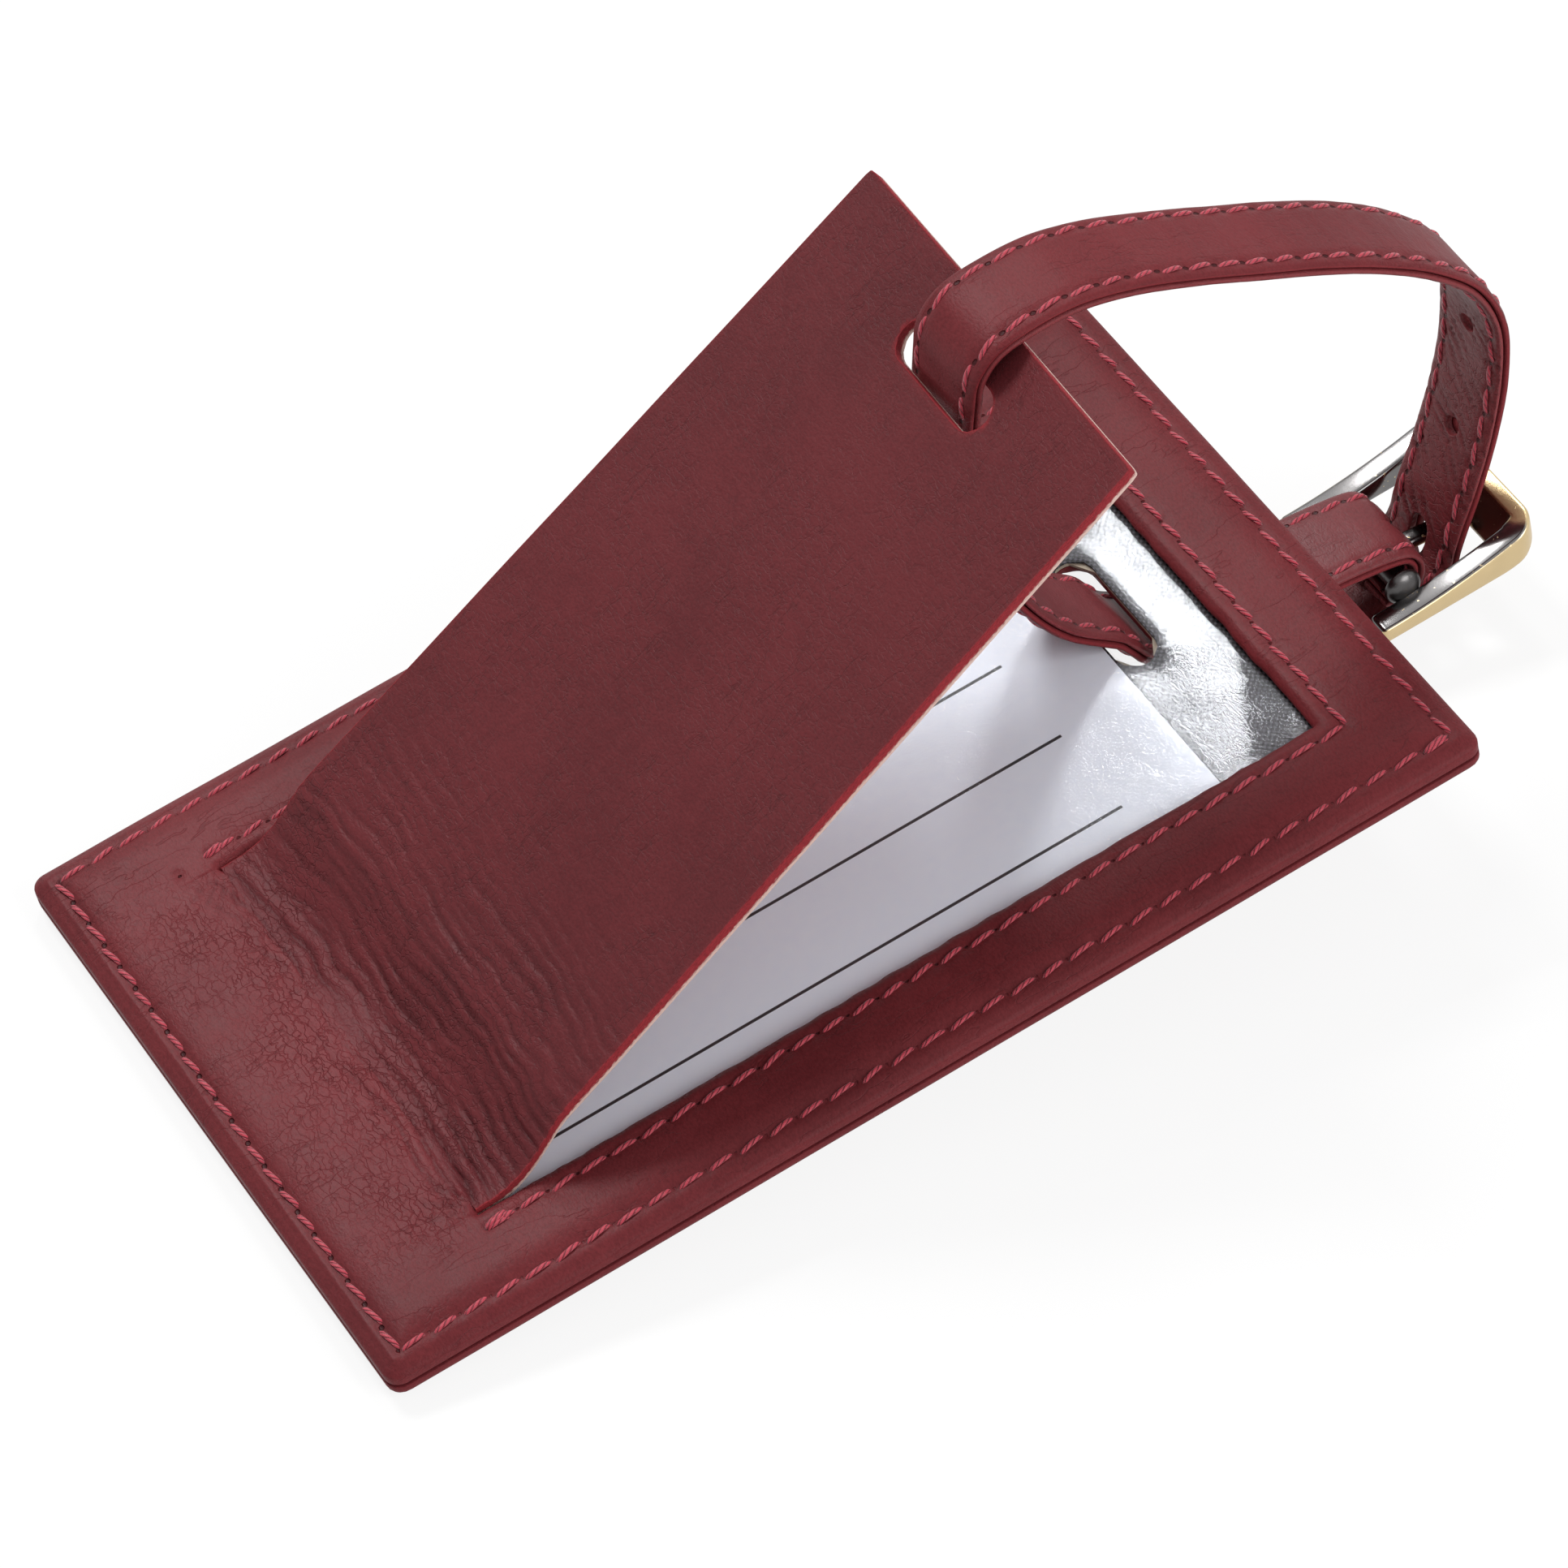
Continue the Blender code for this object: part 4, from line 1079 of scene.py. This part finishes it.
STRAP_HALF_WIDTH = 5.0
PLY_IN = 0.05
PLY_OUT = 0.9
STRAP_SEAM = 3.8
STRAP_ROUNDING = 0.42
HOLE_ROUNDING = 0.15
BAR = joint_place("buckle_swivel")[[0, 2]]
SLOT_MIDDLE = joint_place("loop_swing")[[0, 2]]
HOOK_RADIUS = 2.5
HOOK_START = 125
FLAP_SLOT_REACH = FLAP_SLOT_X - HINGE_X
LOOP_RATIO = 1.7
SLOT_LEAN = np.radians(30)


def strap_route():
    """Points along the strap's middle, from its hooked end to its tail's tip, in the tag's XZ plane.

    Between the slots the strap follows the flap's slot as it swings about the hinge, turned back about
    the body's slot by the loop's share of the swing.
    """
    hook = np.radians((-HOOK_START, -95, -60, -25, 10, 45, 75))
    hook = BAR + HOOK_RADIUS * np.column_stack((np.cos(hook), np.sin(hook)))
    under_tag = [(62.0, -6.25), (56.0, -5.6), (50.0, -5.0), (45.5, -4.4), (41.9, -2.9)]
    rise = np.array((-2.6, -1.2, 0.2, 1.5))[:, None]
    through_slot = SLOT_MIDDLE + rise * np.array((-np.sin(SLOT_LEAN), np.cos(SLOT_LEAN)))
    lift = np.radians((4.5, 9.0, 14.0, 19.0, 24.0))
    flap_slot = (HINGE_X, HINGE_Z) + FLAP_SLOT_REACH * np.column_stack((np.cos(lift), np.sin(lift)))
    along, up = (flap_slot - SLOT_MIDDLE).T
    back = LOOP_RATIO * (FLAP_LIFT - lift)
    to_flap = SLOT_MIDDLE + np.column_stack((
        along * np.cos(back) - up * np.sin(back), along * np.sin(back) + up * np.cos(back),
    ))
    arch = [
        (28.6, 41.9), (29.5, 44.6), (31.6, 46.5), (35.6, 47.2), (40.4, 46.9), (46.0, 45.0), (52.0, 41.9),
        (58.0, 38.4), (64.4, 34.6), (70.0, 30.7), (75.0, 26.3), (79.0, 21.1), (80.7, 15.2),
    ]
    tail = [
        (80.1, 8.7), (78.0, 1.5), (75.3, -4.7), (73.5, -8.2), (72.5, -10.4), (71.8, -12.2), (70.4, -13.8),
        (67.5, -14.8), (62.0, -15.2), (56.0, -14.8), (49.5, -13.9),
    ]
    return np.vstack((hook, under_tag, through_slot, to_flap, arch, tail))


def smooth_curve(knots, steps=16):
    """A centripetal Catmull-Rom curve through the points, as closely spaced places."""
    padded = np.vstack((2 * knots[0] - knots[1], knots, 2 * knots[-1] - knots[-2]))
    before, start, end, after = (padded[shift:shift + len(knots) - 1, None] for shift in range(4))
    t1 = np.linalg.norm(start - before, axis=-1, keepdims=True) ** 0.5
    t2 = t1 + np.linalg.norm(end - start, axis=-1, keepdims=True) ** 0.5
    t3 = t2 + np.linalg.norm(after - end, axis=-1, keepdims=True) ** 0.5
    t = t1 + (t2 - t1) * np.linspace(0, 1, steps, endpoint=False)[None, :, None]
    a1 = ((t1 - t) * before + t * start) / t1
    a2 = ((t2 - t) * start + (t - t1) * end) / (t2 - t1)
    a3 = ((t3 - t) * end + (t - t2) * after) / (t3 - t2)
    b1 = ((t2 - t) * a1 + t * a2) / t2
    b2 = ((t3 - t) * a2 + (t - t1) * a3) / (t3 - t1)
    curve = ((t2 - t) * b1 + (t - t1) * b2) / (t2 - t1)
    return np.vstack((curve.reshape(-1, 2), knots[-1:]))


def run_along(path):
    """The length along a path at each of its points."""
    return np.concatenate(([0.0], np.cumsum(np.linalg.norm(np.diff(path, axis=0), axis=1))))


route = smooth_curve(strap_route())
route_length = run_along(route)
STRAP_LENGTH = route_length[-1]
WAY_REACH = 0.4


def route_at(length):
    """The place on the strap's middle at a length from its hooked end."""
    return np.stack([np.interp(length, route_length, route[:, axis]) for axis in (0, 1)], axis=-1)


def outward_at(length):
    """The outward side of the strap at a length from its hooked end."""
    way = route_at(length + WAY_REACH) - route_at(length - WAY_REACH)
    way = way / np.linalg.norm(way, axis=-1, keepdims=True)
    return np.stack((-way[..., 1], way[..., 0]), axis=-1)


def on_strap(length, across, out):
    """Places on the strap: a length along it, a distance across it and a height out from its middle."""
    spot = route_at(length) + out[..., None] * outward_at(length)
    return listed(spot[..., 0], across, spot[..., 1])


PRONG_DROP = np.radians(8)
PRONG_MIDDLE = -1.2
falls = (route[:, 0] > BAR[0] + HOOK_RADIUS) & (route[:, 1] < 0) & (np.arange(len(route)) > len(route) / 2)
off_prong = (route[falls] - BAR) @ np.array((np.sin(PRONG_DROP), np.cos(PRONG_DROP))) - PRONG_MIDDLE
PRONG_LENGTH_ALONG = float(np.interp(0.0, -off_prong, route_length[falls]))
HOLE_RADIUS = 0.95
HOLE_PITCH = 12.8
PRONG_HOLE = (2.2, 1.25)
SLIT_HALF_WIDTH = 1.3
STRAP_HOLES = [(PRONG_LENGTH_ALONG, *PRONG_HOLE)] + [
    (PRONG_LENGTH_ALONG + number * HOLE_PITCH, HOLE_RADIUS, HOLE_RADIUS) for number in (-2, -1, 1)
]
STRAP_STEP = 0.42
HOLE_GIVE = 2.8
BEND_BEFORE_PRONG = 34
BEND_PAST_PRONG = 6
STRAP_FOLD = 0.28
FOLD_SPACING = 1.7
EDGE_FALL = 0.32
STRAP_RAW_REACH = 0.14
STRAP_WOBBLE = 0.012
HIDE_APART = 40
INNER_GLOSS = 0.3


def strap_opening(length, slit_end):
    """Half the width of what is cut out of the strap's middle at a length: holes and the prong's slit."""
    opening = slot_opening(length, slit_end, SLIT_HALF_WIDTH)
    for middle, half_length, half_width in STRAP_HOLES:
        opening = np.maximum(opening, slot_opening(length - middle, half_length, half_width))
    return opening


def strap_layer(name, side, slit_end, node, gloss):
    """One leather layer of the strap: a sheet along the route, parted down its middle at holes and slit.

    side is 1 for the layer outside on the arch and -1 for the one inside, which folds in the bend before
    the buckle. The fall at its edges grows with the square of the distance past the seam.
    """
    over_hole = np.linspace(-1.05, 1.05, 15)
    close_up = [middle + over_hole * half_length for middle, half_length, _ in STRAP_HOLES]
    even = lines(0, STRAP_LENGTH, STRAP_STEP, STRAP_ROUNDING, STRAP_ROUNDING)
    length = np.unique(np.concatenate((even, (slit_end,), *close_up)))
    length = length[np.concatenate(([True], np.diff(length) > 0.01))]
    half = lines(0, STRAP_HALF_WIDTH, STRAP_STEP, HOLE_ROUNDING, STRAP_ROUNDING)
    opening = strap_opening(length, slit_end)[:, None]
    shifted = half + opening * np.clip(1 - half / HOLE_GIVE, 0, 1)
    across = np.hstack((-shifted[:, ::-1], shifted))
    run = np.broadcast_to(length[:, None], across.shape)
    cells = np.ones((len(length) - 1, across.shape[1] - 1), dtype=bool)
    cells[:, len(half) - 1] = False
    joined = np.zeros(across.shape, dtype=bool)
    joined[:, len(half) - 1:len(half) + 1] = opening == 0
    to_side = np.minimum(STRAP_HALF_WIDTH - np.abs(across), np.minimum(run, STRAP_LENGTH - run))
    to_hole = np.where(opening > 0, np.abs(across) - opening, HOLE_ROUNDING)
    full = 0.3 + 0.7 * np.minimum(fullness(to_side, STRAP_ROUNDING), fullness(to_hole, HOLE_ROUNDING))
    off, count = row_of_stitches(np.abs(across) - STRAP_SEAM, run - STRAP_LENGTH / 2, STRAP_LENGTH / 2)
    from_prong = run - PRONG_LENGTH_ALONG
    in_bend = np.clip((from_prong + BEND_BEFORE_PRONG) / 10, 0, 1) * (side < 0)
    in_bend = in_bend * np.clip((BEND_PAST_PRONG - from_prong) / 5, 0, 1)
    fold_phase = run / FOLD_SPACING + 0.5 * across + 0.7 * waves(run, across, 14, 72)
    folds = (1 - np.abs(np.sin(np.pi * fold_phase))) ** 2 * in_bend
    folds = folds * np.clip(0.5 + 0.8 * waves(run, across, 8, 75), 0, 1)
    past_seam = np.clip((np.abs(across) - STRAP_SEAM + 0.3) / 1.5, 0, 1)
    streaks = 0.018 * waves(run, 0.15 * across, 1.9, 76)
    swelling = 0.04 * waves(run, across, 9, 73 + side)
    uneven = swelling + streaks
    dent = 0.8 * seam_dent(off, count) + EDGE_FALL * past_seam ** 2 + STRAP_FOLD * folds + uneven
    middle = (PLY_IN + PLY_OUT) / 2
    half_thick = (PLY_OUT - PLY_IN) / 2
    outer = side * (middle + (half_thick - dent) * full)
    inner = side * (middle - half_thick * full)
    wide = across * (1 + STRAP_WOBBLE * waves(run, 0 * run, 17, 71 + side))
    places = np.vstack((on_strap(run, wide, outer), on_strap(run, wide, inner)))
    raw = bell(np.minimum(to_side, np.maximum(to_hole, 0)), STRAP_RAW_REACH)
    piece = new_piece(
        name, places, sheet_faces(cells, joined),
        flat=stacked(run, across + HIDE_APART * side, outer, inner), seam=seam_mark(off, count, 1, 0),
        raw=both_faces(0.08 * raw, 0.5 * raw), crease=both_faces(0.6 * in_bend + 0.12),
        # The valley mark makes the leather paint shade into the strap's folds.
        valley=both_faces(0.8 * folds),
    )
    piece.data.materials.append(leather("oxblood_" + name, OXBLOOD, DEEP_OXBLOOD, RAW_EDGE, gloss))
    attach(piece, "strap_loop")
    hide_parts(node)


OUTER_SLIT_END = HOOK_RADIUS * np.radians(HOOK_START + 85)
INNER_SLIT_END = HOOK_RADIUS * np.radians(HOOK_START + 45)
strap_layer("strap_outer_leather", 1, OUTER_SLIT_END, "strap_outer_layer", SOFT_GLOSS)
strap_layer(
    "strap_inner_leather", -1, INNER_SLIT_END, "strap_inner_layer", INNER_GLOSS
)

# Seams of the strap
# The same crimson thread, one row near each edge. A lockstitch shows alike on both faces.

STITCH_DEPTH = 0.2
strap_pitch = even_pitch(STRAP_LENGTH)
strap_holes = np.arange(1, round(STRAP_LENGTH / strap_pitch)) * strap_pitch
for face, side in (("outer", 1), ("inner", -1)):
    for edge, row in (("near", -1), ("far", 1)):
        surface = np.full(strap_holes.shape, side * (PLY_OUT - STITCH_DEPTH))
        spots = on_strap(strap_holes, row * STRAP_SEAM, surface)
        between = (strap_holes[:-1] + strap_holes[1:]) / 2
        outward_x, outward_z = outward_at(between).T
        outs = side * listed(outward_x, 0.0, outward_z)
        bulge = on_strap(between, row * STRAP_SEAM, surface[1:]) - (spots[:-1] + spots[1:]) / 2
        lift = np.sum(bulge * outs, axis=1, keepdims=True)
        rows = [stitch_row(spots[:-1], spots[1:], outs, 81 + 2 * row + side, lift)]
        node = "strap_" + face + "_thread_" + edge
        seam("strap_stitches_" + face + "_" + edge, rows, "strap_loop", [node])

# Buckle frame
# A U of cast metal, bowed a little, gold-plated outside and below and left as dark polished nickel on
# its inner and upper faces. The end bar's inner face is painted partway between gold and nickel, as
# painted shade. The heel bar closes it.

FRAME_HALF_WIDTH = 9.0
LEG_HALF = 1.25
END_BAR_HALF = 1.4
HEEL_END = -4.4
FRAME_END = 13.6
CORNER = 1.5
END_BAR_SLANT = 1.2
END_BAR_FOOT = 1.4
TOE_START = 9.0
FRAME_BOTTOM = -2.25
HEEL_TOP = -0.5
TOE_BEND = 0.073
TOP_BEND = 0.0085
HEEL_ROUNDING = 0.5
SECTION_SIDES = 28
SQUARENESS = 0.28


def bow(u):
    """The lowest and highest place of the frame at a length from its bar.

    Below it is flat up to the toe, which rises as a parabola. Above it climbs as a parabola from the heel.
    """
    toe = np.maximum(u - TOE_START, 0.0)
    return FRAME_BOTTOM + TOE_BEND * toe ** 2, HEEL_TOP + TOP_BEND * (u - HEEL_END) ** 2


def frame_path():
    """The middle line of the U in plan, from the near heel round to the far one, with its outward side."""
    side = FRAME_HALF_WIDTH - LEG_HALF
    end = FRAME_END - END_BAR_HALF
    leg = lines(HEEL_END, end - CORNER, 0.5, 0.8)
    turn = np.linspace(0, np.pi / 2, 13)[1:-1]
    bar = np.linspace(-(side - CORNER), 0, 14)
    u = np.concatenate((leg, end - CORNER + CORNER * np.sin(turn), np.full(len(bar), end)))
    v = np.concatenate((np.full(len(leg), -side), -(side - CORNER) - CORNER * np.cos(turn), bar))
    way = np.concatenate((0 * leg, turn, np.full(len(bar), np.pi / 2)))
    u = np.concatenate((u, u[-2::-1]))
    v = np.concatenate((v, -v[-2::-1]))
    way = np.concatenate((way, np.pi - way[-2::-1]))
    return u, v, np.sin(way), -np.cos(way)


def section(sides, power):
    """The two axes of a closed section: a circle at a power of 1, and squarer the lower the power is."""
    angle = np.linspace(0, 2 * np.pi, sides, endpoint=False)
    return [np.sign(axis) * np.abs(axis) ** power for axis in (np.cos(angle), np.sin(angle))]


u, v, out_u, out_v = frame_path()
section_out, section_up = section(SECTION_SIDES, SQUARENESS)
heel = (fullness(u - HEEL_END, HEEL_ROUNDING) * 0.98 + 0.02)[:, None]
wide = (LEG_HALF + (END_BAR_HALF - LEG_HALF) * np.abs(out_u))[:, None] * heel
wedge = END_BAR_SLANT * (1 + section_up) / 2 - END_BAR_FOOT * (1 - section_up) / 2
slant = np.clip(2 * out_u - 1, 0, 1)[:, None] * np.clip(-section_out, 0, 1) * wedge
place_u = u[:, None] + wide * out_u[:, None] * section_out + slant
place_v = v[:, None] + wide * out_v[:, None] * section_out
low, high = bow(place_u)
place_z = (high + low) / 2 + (high - low) / 2 * heel * section_up
places = listed(BAR[0] + place_u, place_v, BAR[1] + place_z)
on_leg = np.clip(0.5 + 4 * (section_out - section_up), 0, 1)
# The end bar's inner face gets a low plating share: painted shade on its gold.
end_plating_and_inner_shade = np.clip(1 + 6 * (section_out + 0.8), 0.38, 1)
plated = on_leg + (end_plating_and_inner_shade - on_leg) * np.clip(3 * out_u - 1.6, 0, 1)[:, None]
faces = tube_faces(len(u), SECTION_SIDES)
buckle_frame = new_piece("buckle_frame_metal", places, faces, plated=plated.ravel())


def polished_metal(name, gold, nickel, gold_mark=None):
    """Satin gold plating or, where the mark is low, dark mirror nickel, with small pits and gold specks."""
    material, shader, tone = new_material(name, Metallic=1.0)
    in_mm = tone.stretch(tone.node("TexCoord", output="Object"), (1 / MM,) * 3)
    brush = tone.noise(tone.stretch(in_mm, (0.4, 5.0, 5.0)), 1.2, 4.0)
    tarnish = tone.noise(in_mm, 0.35, 4.0)
    pits = tone.step(tone.noise(in_mm, 2.1, 2.0), 0.68, 0.74)
    plating = tone.step(tone.mark(gold_mark), 0.05, 0.95) if gold_mark else tone.step(tarnish, 0.0, 0.01)
    bright = tone.mix(tarnish, gold, scaled(gold, 0.8))
    dark = tone.mix(tarnish, nickel, scaled(nickel, 0.6))
    dark = tone.mix(pits * 0.7, dark, gold)
    feed(
        shader, Base_Color=tone.mix(plating, dark, bright), Roughness=0.16 + plating * 0.14 + pits * 0.2,
        Normal=tone.bump((brush * 0.3 - pits * 0.4) * plating + tarnish * 0.3, 0.04),
    )
    return material


GOLD = colour(220, 196, 151)
NICKEL = colour(130, 128, 128)
buckle_frame.data.materials.append(polished_metal("gold_and_nickel", GOLD, NICKEL, "plated"))
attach(buckle_frame, "buckle")
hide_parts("buckle_frame")

# Buckle bar
# A turned steel pin across the heel of the frame, with a domed collar at each end that keeps the strap
# off the legs. Its ends are let into the legs.

DARK_NICKEL = colour(90, 88, 88)
BAR_RADIUS = 1.05
COLLAR_RADIUS = 1.9
COLLAR_IN = 5.4
COLLAR_EDGE = 0.2
DOME_START = COLLAR_IN + 0.35
BAR_END = 6.85
TURNS = 40
dome = np.linspace(0, 0.9, 9)
dome_profile = np.column_stack((
    COLLAR_RADIUS * np.sqrt(1 - dome ** 2), DOME_START + (BAR_END - DOME_START) * dome,
))
half_profile = np.vstack((
    [(BAR_RADIUS, 0.0), (BAR_RADIUS, COLLAR_IN)],
    [(COLLAR_RADIUS - COLLAR_EDGE, COLLAR_IN), (COLLAR_RADIUS, COLLAR_IN + COLLAR_EDGE)],
    dome_profile,
))
profile = np.vstack((half_profile[:0:-1] * (1, -1), half_profile))
radius = profile[:, :1]
section_along, section_up = section(TURNS, 1.0)
places = listed(BAR[0] + radius * section_along, profile[:, 1:], BAR[1] + radius * section_up)
buckle_bar = new_piece("buckle_bar_pin", places, tube_faces(len(profile), TURNS))
buckle_bar.data.materials.append(polished_metal("dark_nickel_pin", DARK_NICKEL, DARK_NICKEL))
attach(buckle_bar, "buckle")
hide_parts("buckle_bar")

# Buckle prong
# A bent strip of steel, gold-plated below and dark above like the frame. One end is rolled into a ring
# round the bar, and its tongue goes through a hole of the strap and lies under the end of the frame.

PRONG_HALF_WIDTH = 0.9
RING_MIDDLE = 1.72
RING_HALF_THICK = 0.36
TONGUE_HALF_THICK = 0.62
TONGUE_TAPER = 3
TIP_LENGTH = 1.0
PRONG_SIDES = 20
PRONG_SQUARENESS = 0.6
ring = np.radians(np.linspace(-20, 300, 33))
ring_path = RING_MIDDLE * np.column_stack((np.cos(ring), np.sin(ring)))
tongue = [
    (2.6, -1.45), (4.0, -1.22), (7.0, -1.2), (10.0, -1.2), (11.8, -1.2), (12.6, -1.22), (12.88, -1.24),
]
path = np.vstack((ring_path, smooth_curve(np.vstack((ring_path[-1:], tongue)), 8)[1:]))
dropped = np.array(((np.cos(PRONG_DROP), -np.sin(PRONG_DROP)), (np.sin(PRONG_DROP), np.cos(PRONG_DROP))))
path = path @ dropped
run = run_along(path)
way = np.gradient(path, axis=0)
way = way / np.linalg.norm(way, axis=1, keepdims=True)
outward = np.column_stack((way[:, 1], -way[:, 0]))
on_tongue = np.clip((run - run[len(ring) - 1]) / TONGUE_TAPER, 0, 1)
tip = fullness(run[-1] - run, TIP_LENGTH) * 0.94 + 0.06
thick = (RING_HALF_THICK + (TONGUE_HALF_THICK - RING_HALF_THICK) * on_tongue) * tip
wide = PRONG_HALF_WIDTH * (0.6 + 0.4 * tip)
section_out, section_across = section(PRONG_SIDES, PRONG_SQUARENESS)
offset = path[:, None] + (thick[:, None] * section_out)[..., None] * outward[:, None]
places = listed(BAR[0] + offset[..., 0], wide[:, None] * section_across, BAR[1] + offset[..., 1])
plated = on_tongue[:, None] * np.clip(0.5 + 4 * section_out, 0, 1)
faces = tube_faces(len(path), PRONG_SIDES)
buckle_prong = new_piece("buckle_prong_tongue", places, faces, plated=plated.ravel())
buckle_prong.data.materials.append(polished_metal("gold_and_nickel_prong", GOLD, DARK_NICKEL, "plated"))
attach(buckle_prong, "prong")
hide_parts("buckle_prong")

# Studio
# A white floor in a white room. A softbox behind the tag is the main light, a small one to its right
# shines in the film, and a broad one in front lights under the flap. The camera stands where the
# photograph was taken from.

FLOOR_HALF = 6.0
FLOOR_HEIGHT = min(0.0, float(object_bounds()[0][2]))
floor_corners = [
    (-FLOOR_HALF, -FLOOR_HALF, FLOOR_HEIGHT), (FLOOR_HALF, -FLOOR_HALF, FLOOR_HEIGHT),
    (FLOOR_HALF, FLOOR_HALF, FLOOR_HEIGHT), (-FLOOR_HALF, FLOOR_HALF, FLOOR_HEIGHT),
]
floor_mesh = bpy.data.meshes.new("floor")
floor_mesh.from_pydata(floor_corners, [], [(0, 1, 2, 3)])
floor = bpy.data.objects.new("floor", floor_mesh)
bpy.context.scene.collection.objects.link(floor)
floor_material, shader, tone = new_material("white_floor", 0.9, Base_Color=(0.9, 0.9, 0.9, 1.0))


def sees_background(tone):
    """1 for a ray from the camera, off gloss or through clear stuff, so that each shows the white room."""
    rays = ("Is Camera Ray", "Is Glossy Ray", "Is Transmission Ray")
    kinds = [tone.node("LightPath", output=kind) for kind in rays]
    return tone.math("MAXIMUM", tone.math("MAXIMUM", kinds[0], kinds[1]), kinds[2])


FLOOR_GLOW = 0.85
glow = tone.node("Emission", sockets={"Color": (1.0, 1.0, 1.0, 1.0), "Strength": 1.0})
paint = Tone(tone.tree, shader.outputs[0])
floor_light = tone.node("MixShader", sockets={0: sees_background(tone) * FLOOR_GLOW, 1: paint, 2: glow})
output = tone.tree.nodes["Material Output"]
tone.tree.links.new(floor_light.socket, output.inputs["Surface"])
floor_mesh.materials.append(floor_material)

world = bpy.data.worlds.new("white_room")
world.use_nodes = True
bpy.context.scene.world = world
ROOM_LIGHT = 0.45
background = world.node_tree.nodes["Background"]
room = Tone(world.node_tree)
strength = ROOM_LIGHT + sees_background(room) * (1 - ROOM_LIGHT)
world.node_tree.links.new(strength.socket, background.inputs["Strength"])
background.inputs["Color"].default_value = (1.0, 1.0, 1.0, 1.0)


def turned_to(place, target, upward):
    """The 4x4 place, column by column, of a lamp or camera that looks from a place at a target."""
    back = np.asarray(place, dtype=float) - np.asarray(target, dtype=float)
    back = back / np.linalg.norm(back)
    right = np.cross(upward, back)
    right = right / np.linalg.norm(right)
    turned = np.eye(4)
    turned[:3, :4] = np.column_stack((right, np.cross(back, right), back, place))
    return turned.T.tolist()


def softbox(name, place, size, power):
    """A square area lamp at a place in the tag's frame, in millimetres, that looks at the tag's middle."""
    lamp = bpy.data.lights.new(name, "AREA")
    lamp.size = size
    lamp.energy = power
    stand = bpy.data.objects.new(name, lamp)
    bpy.context.scene.collection.objects.link(stand)
    stand.matrix_world = turned_to(in_row(place), TAG_ORIGIN, TAG_ACROSS)


softbox("softbox_behind", (0, 560, 745), 0.22, 5.0)
softbox("softbox_right", (370, 533, 652), 0.13, 1.6)
softbox("softbox_front", (380, -640, 420), 0.5, 4.2)

CAMERA_PLACE = (-151.2, -446.5, 565.8)
CAMERA_TARGET = (3.96, -0.62, 4.3)
CAMERA_UP = (0.4873, 0.6132, 0.6217)
LENS = 186.34
SENSOR = 36.0
camera_data = bpy.data.cameras.new("camera")
camera_data.lens = LENS
camera_data.sensor_width = SENSOR
camera_data.clip_start = 0.01
camera = bpy.data.objects.new("camera", camera_data)
bpy.context.scene.collection.objects.link(camera)
up_in_row = in_row(CAMERA_UP) - TAG_ORIGIN
camera.matrix_world = turned_to(in_row(CAMERA_PLACE), in_row(CAMERA_TARGET), up_in_row)
bpy.context.scene.camera = camera
bpy.context.scene.view_settings.view_transform = "Standard"
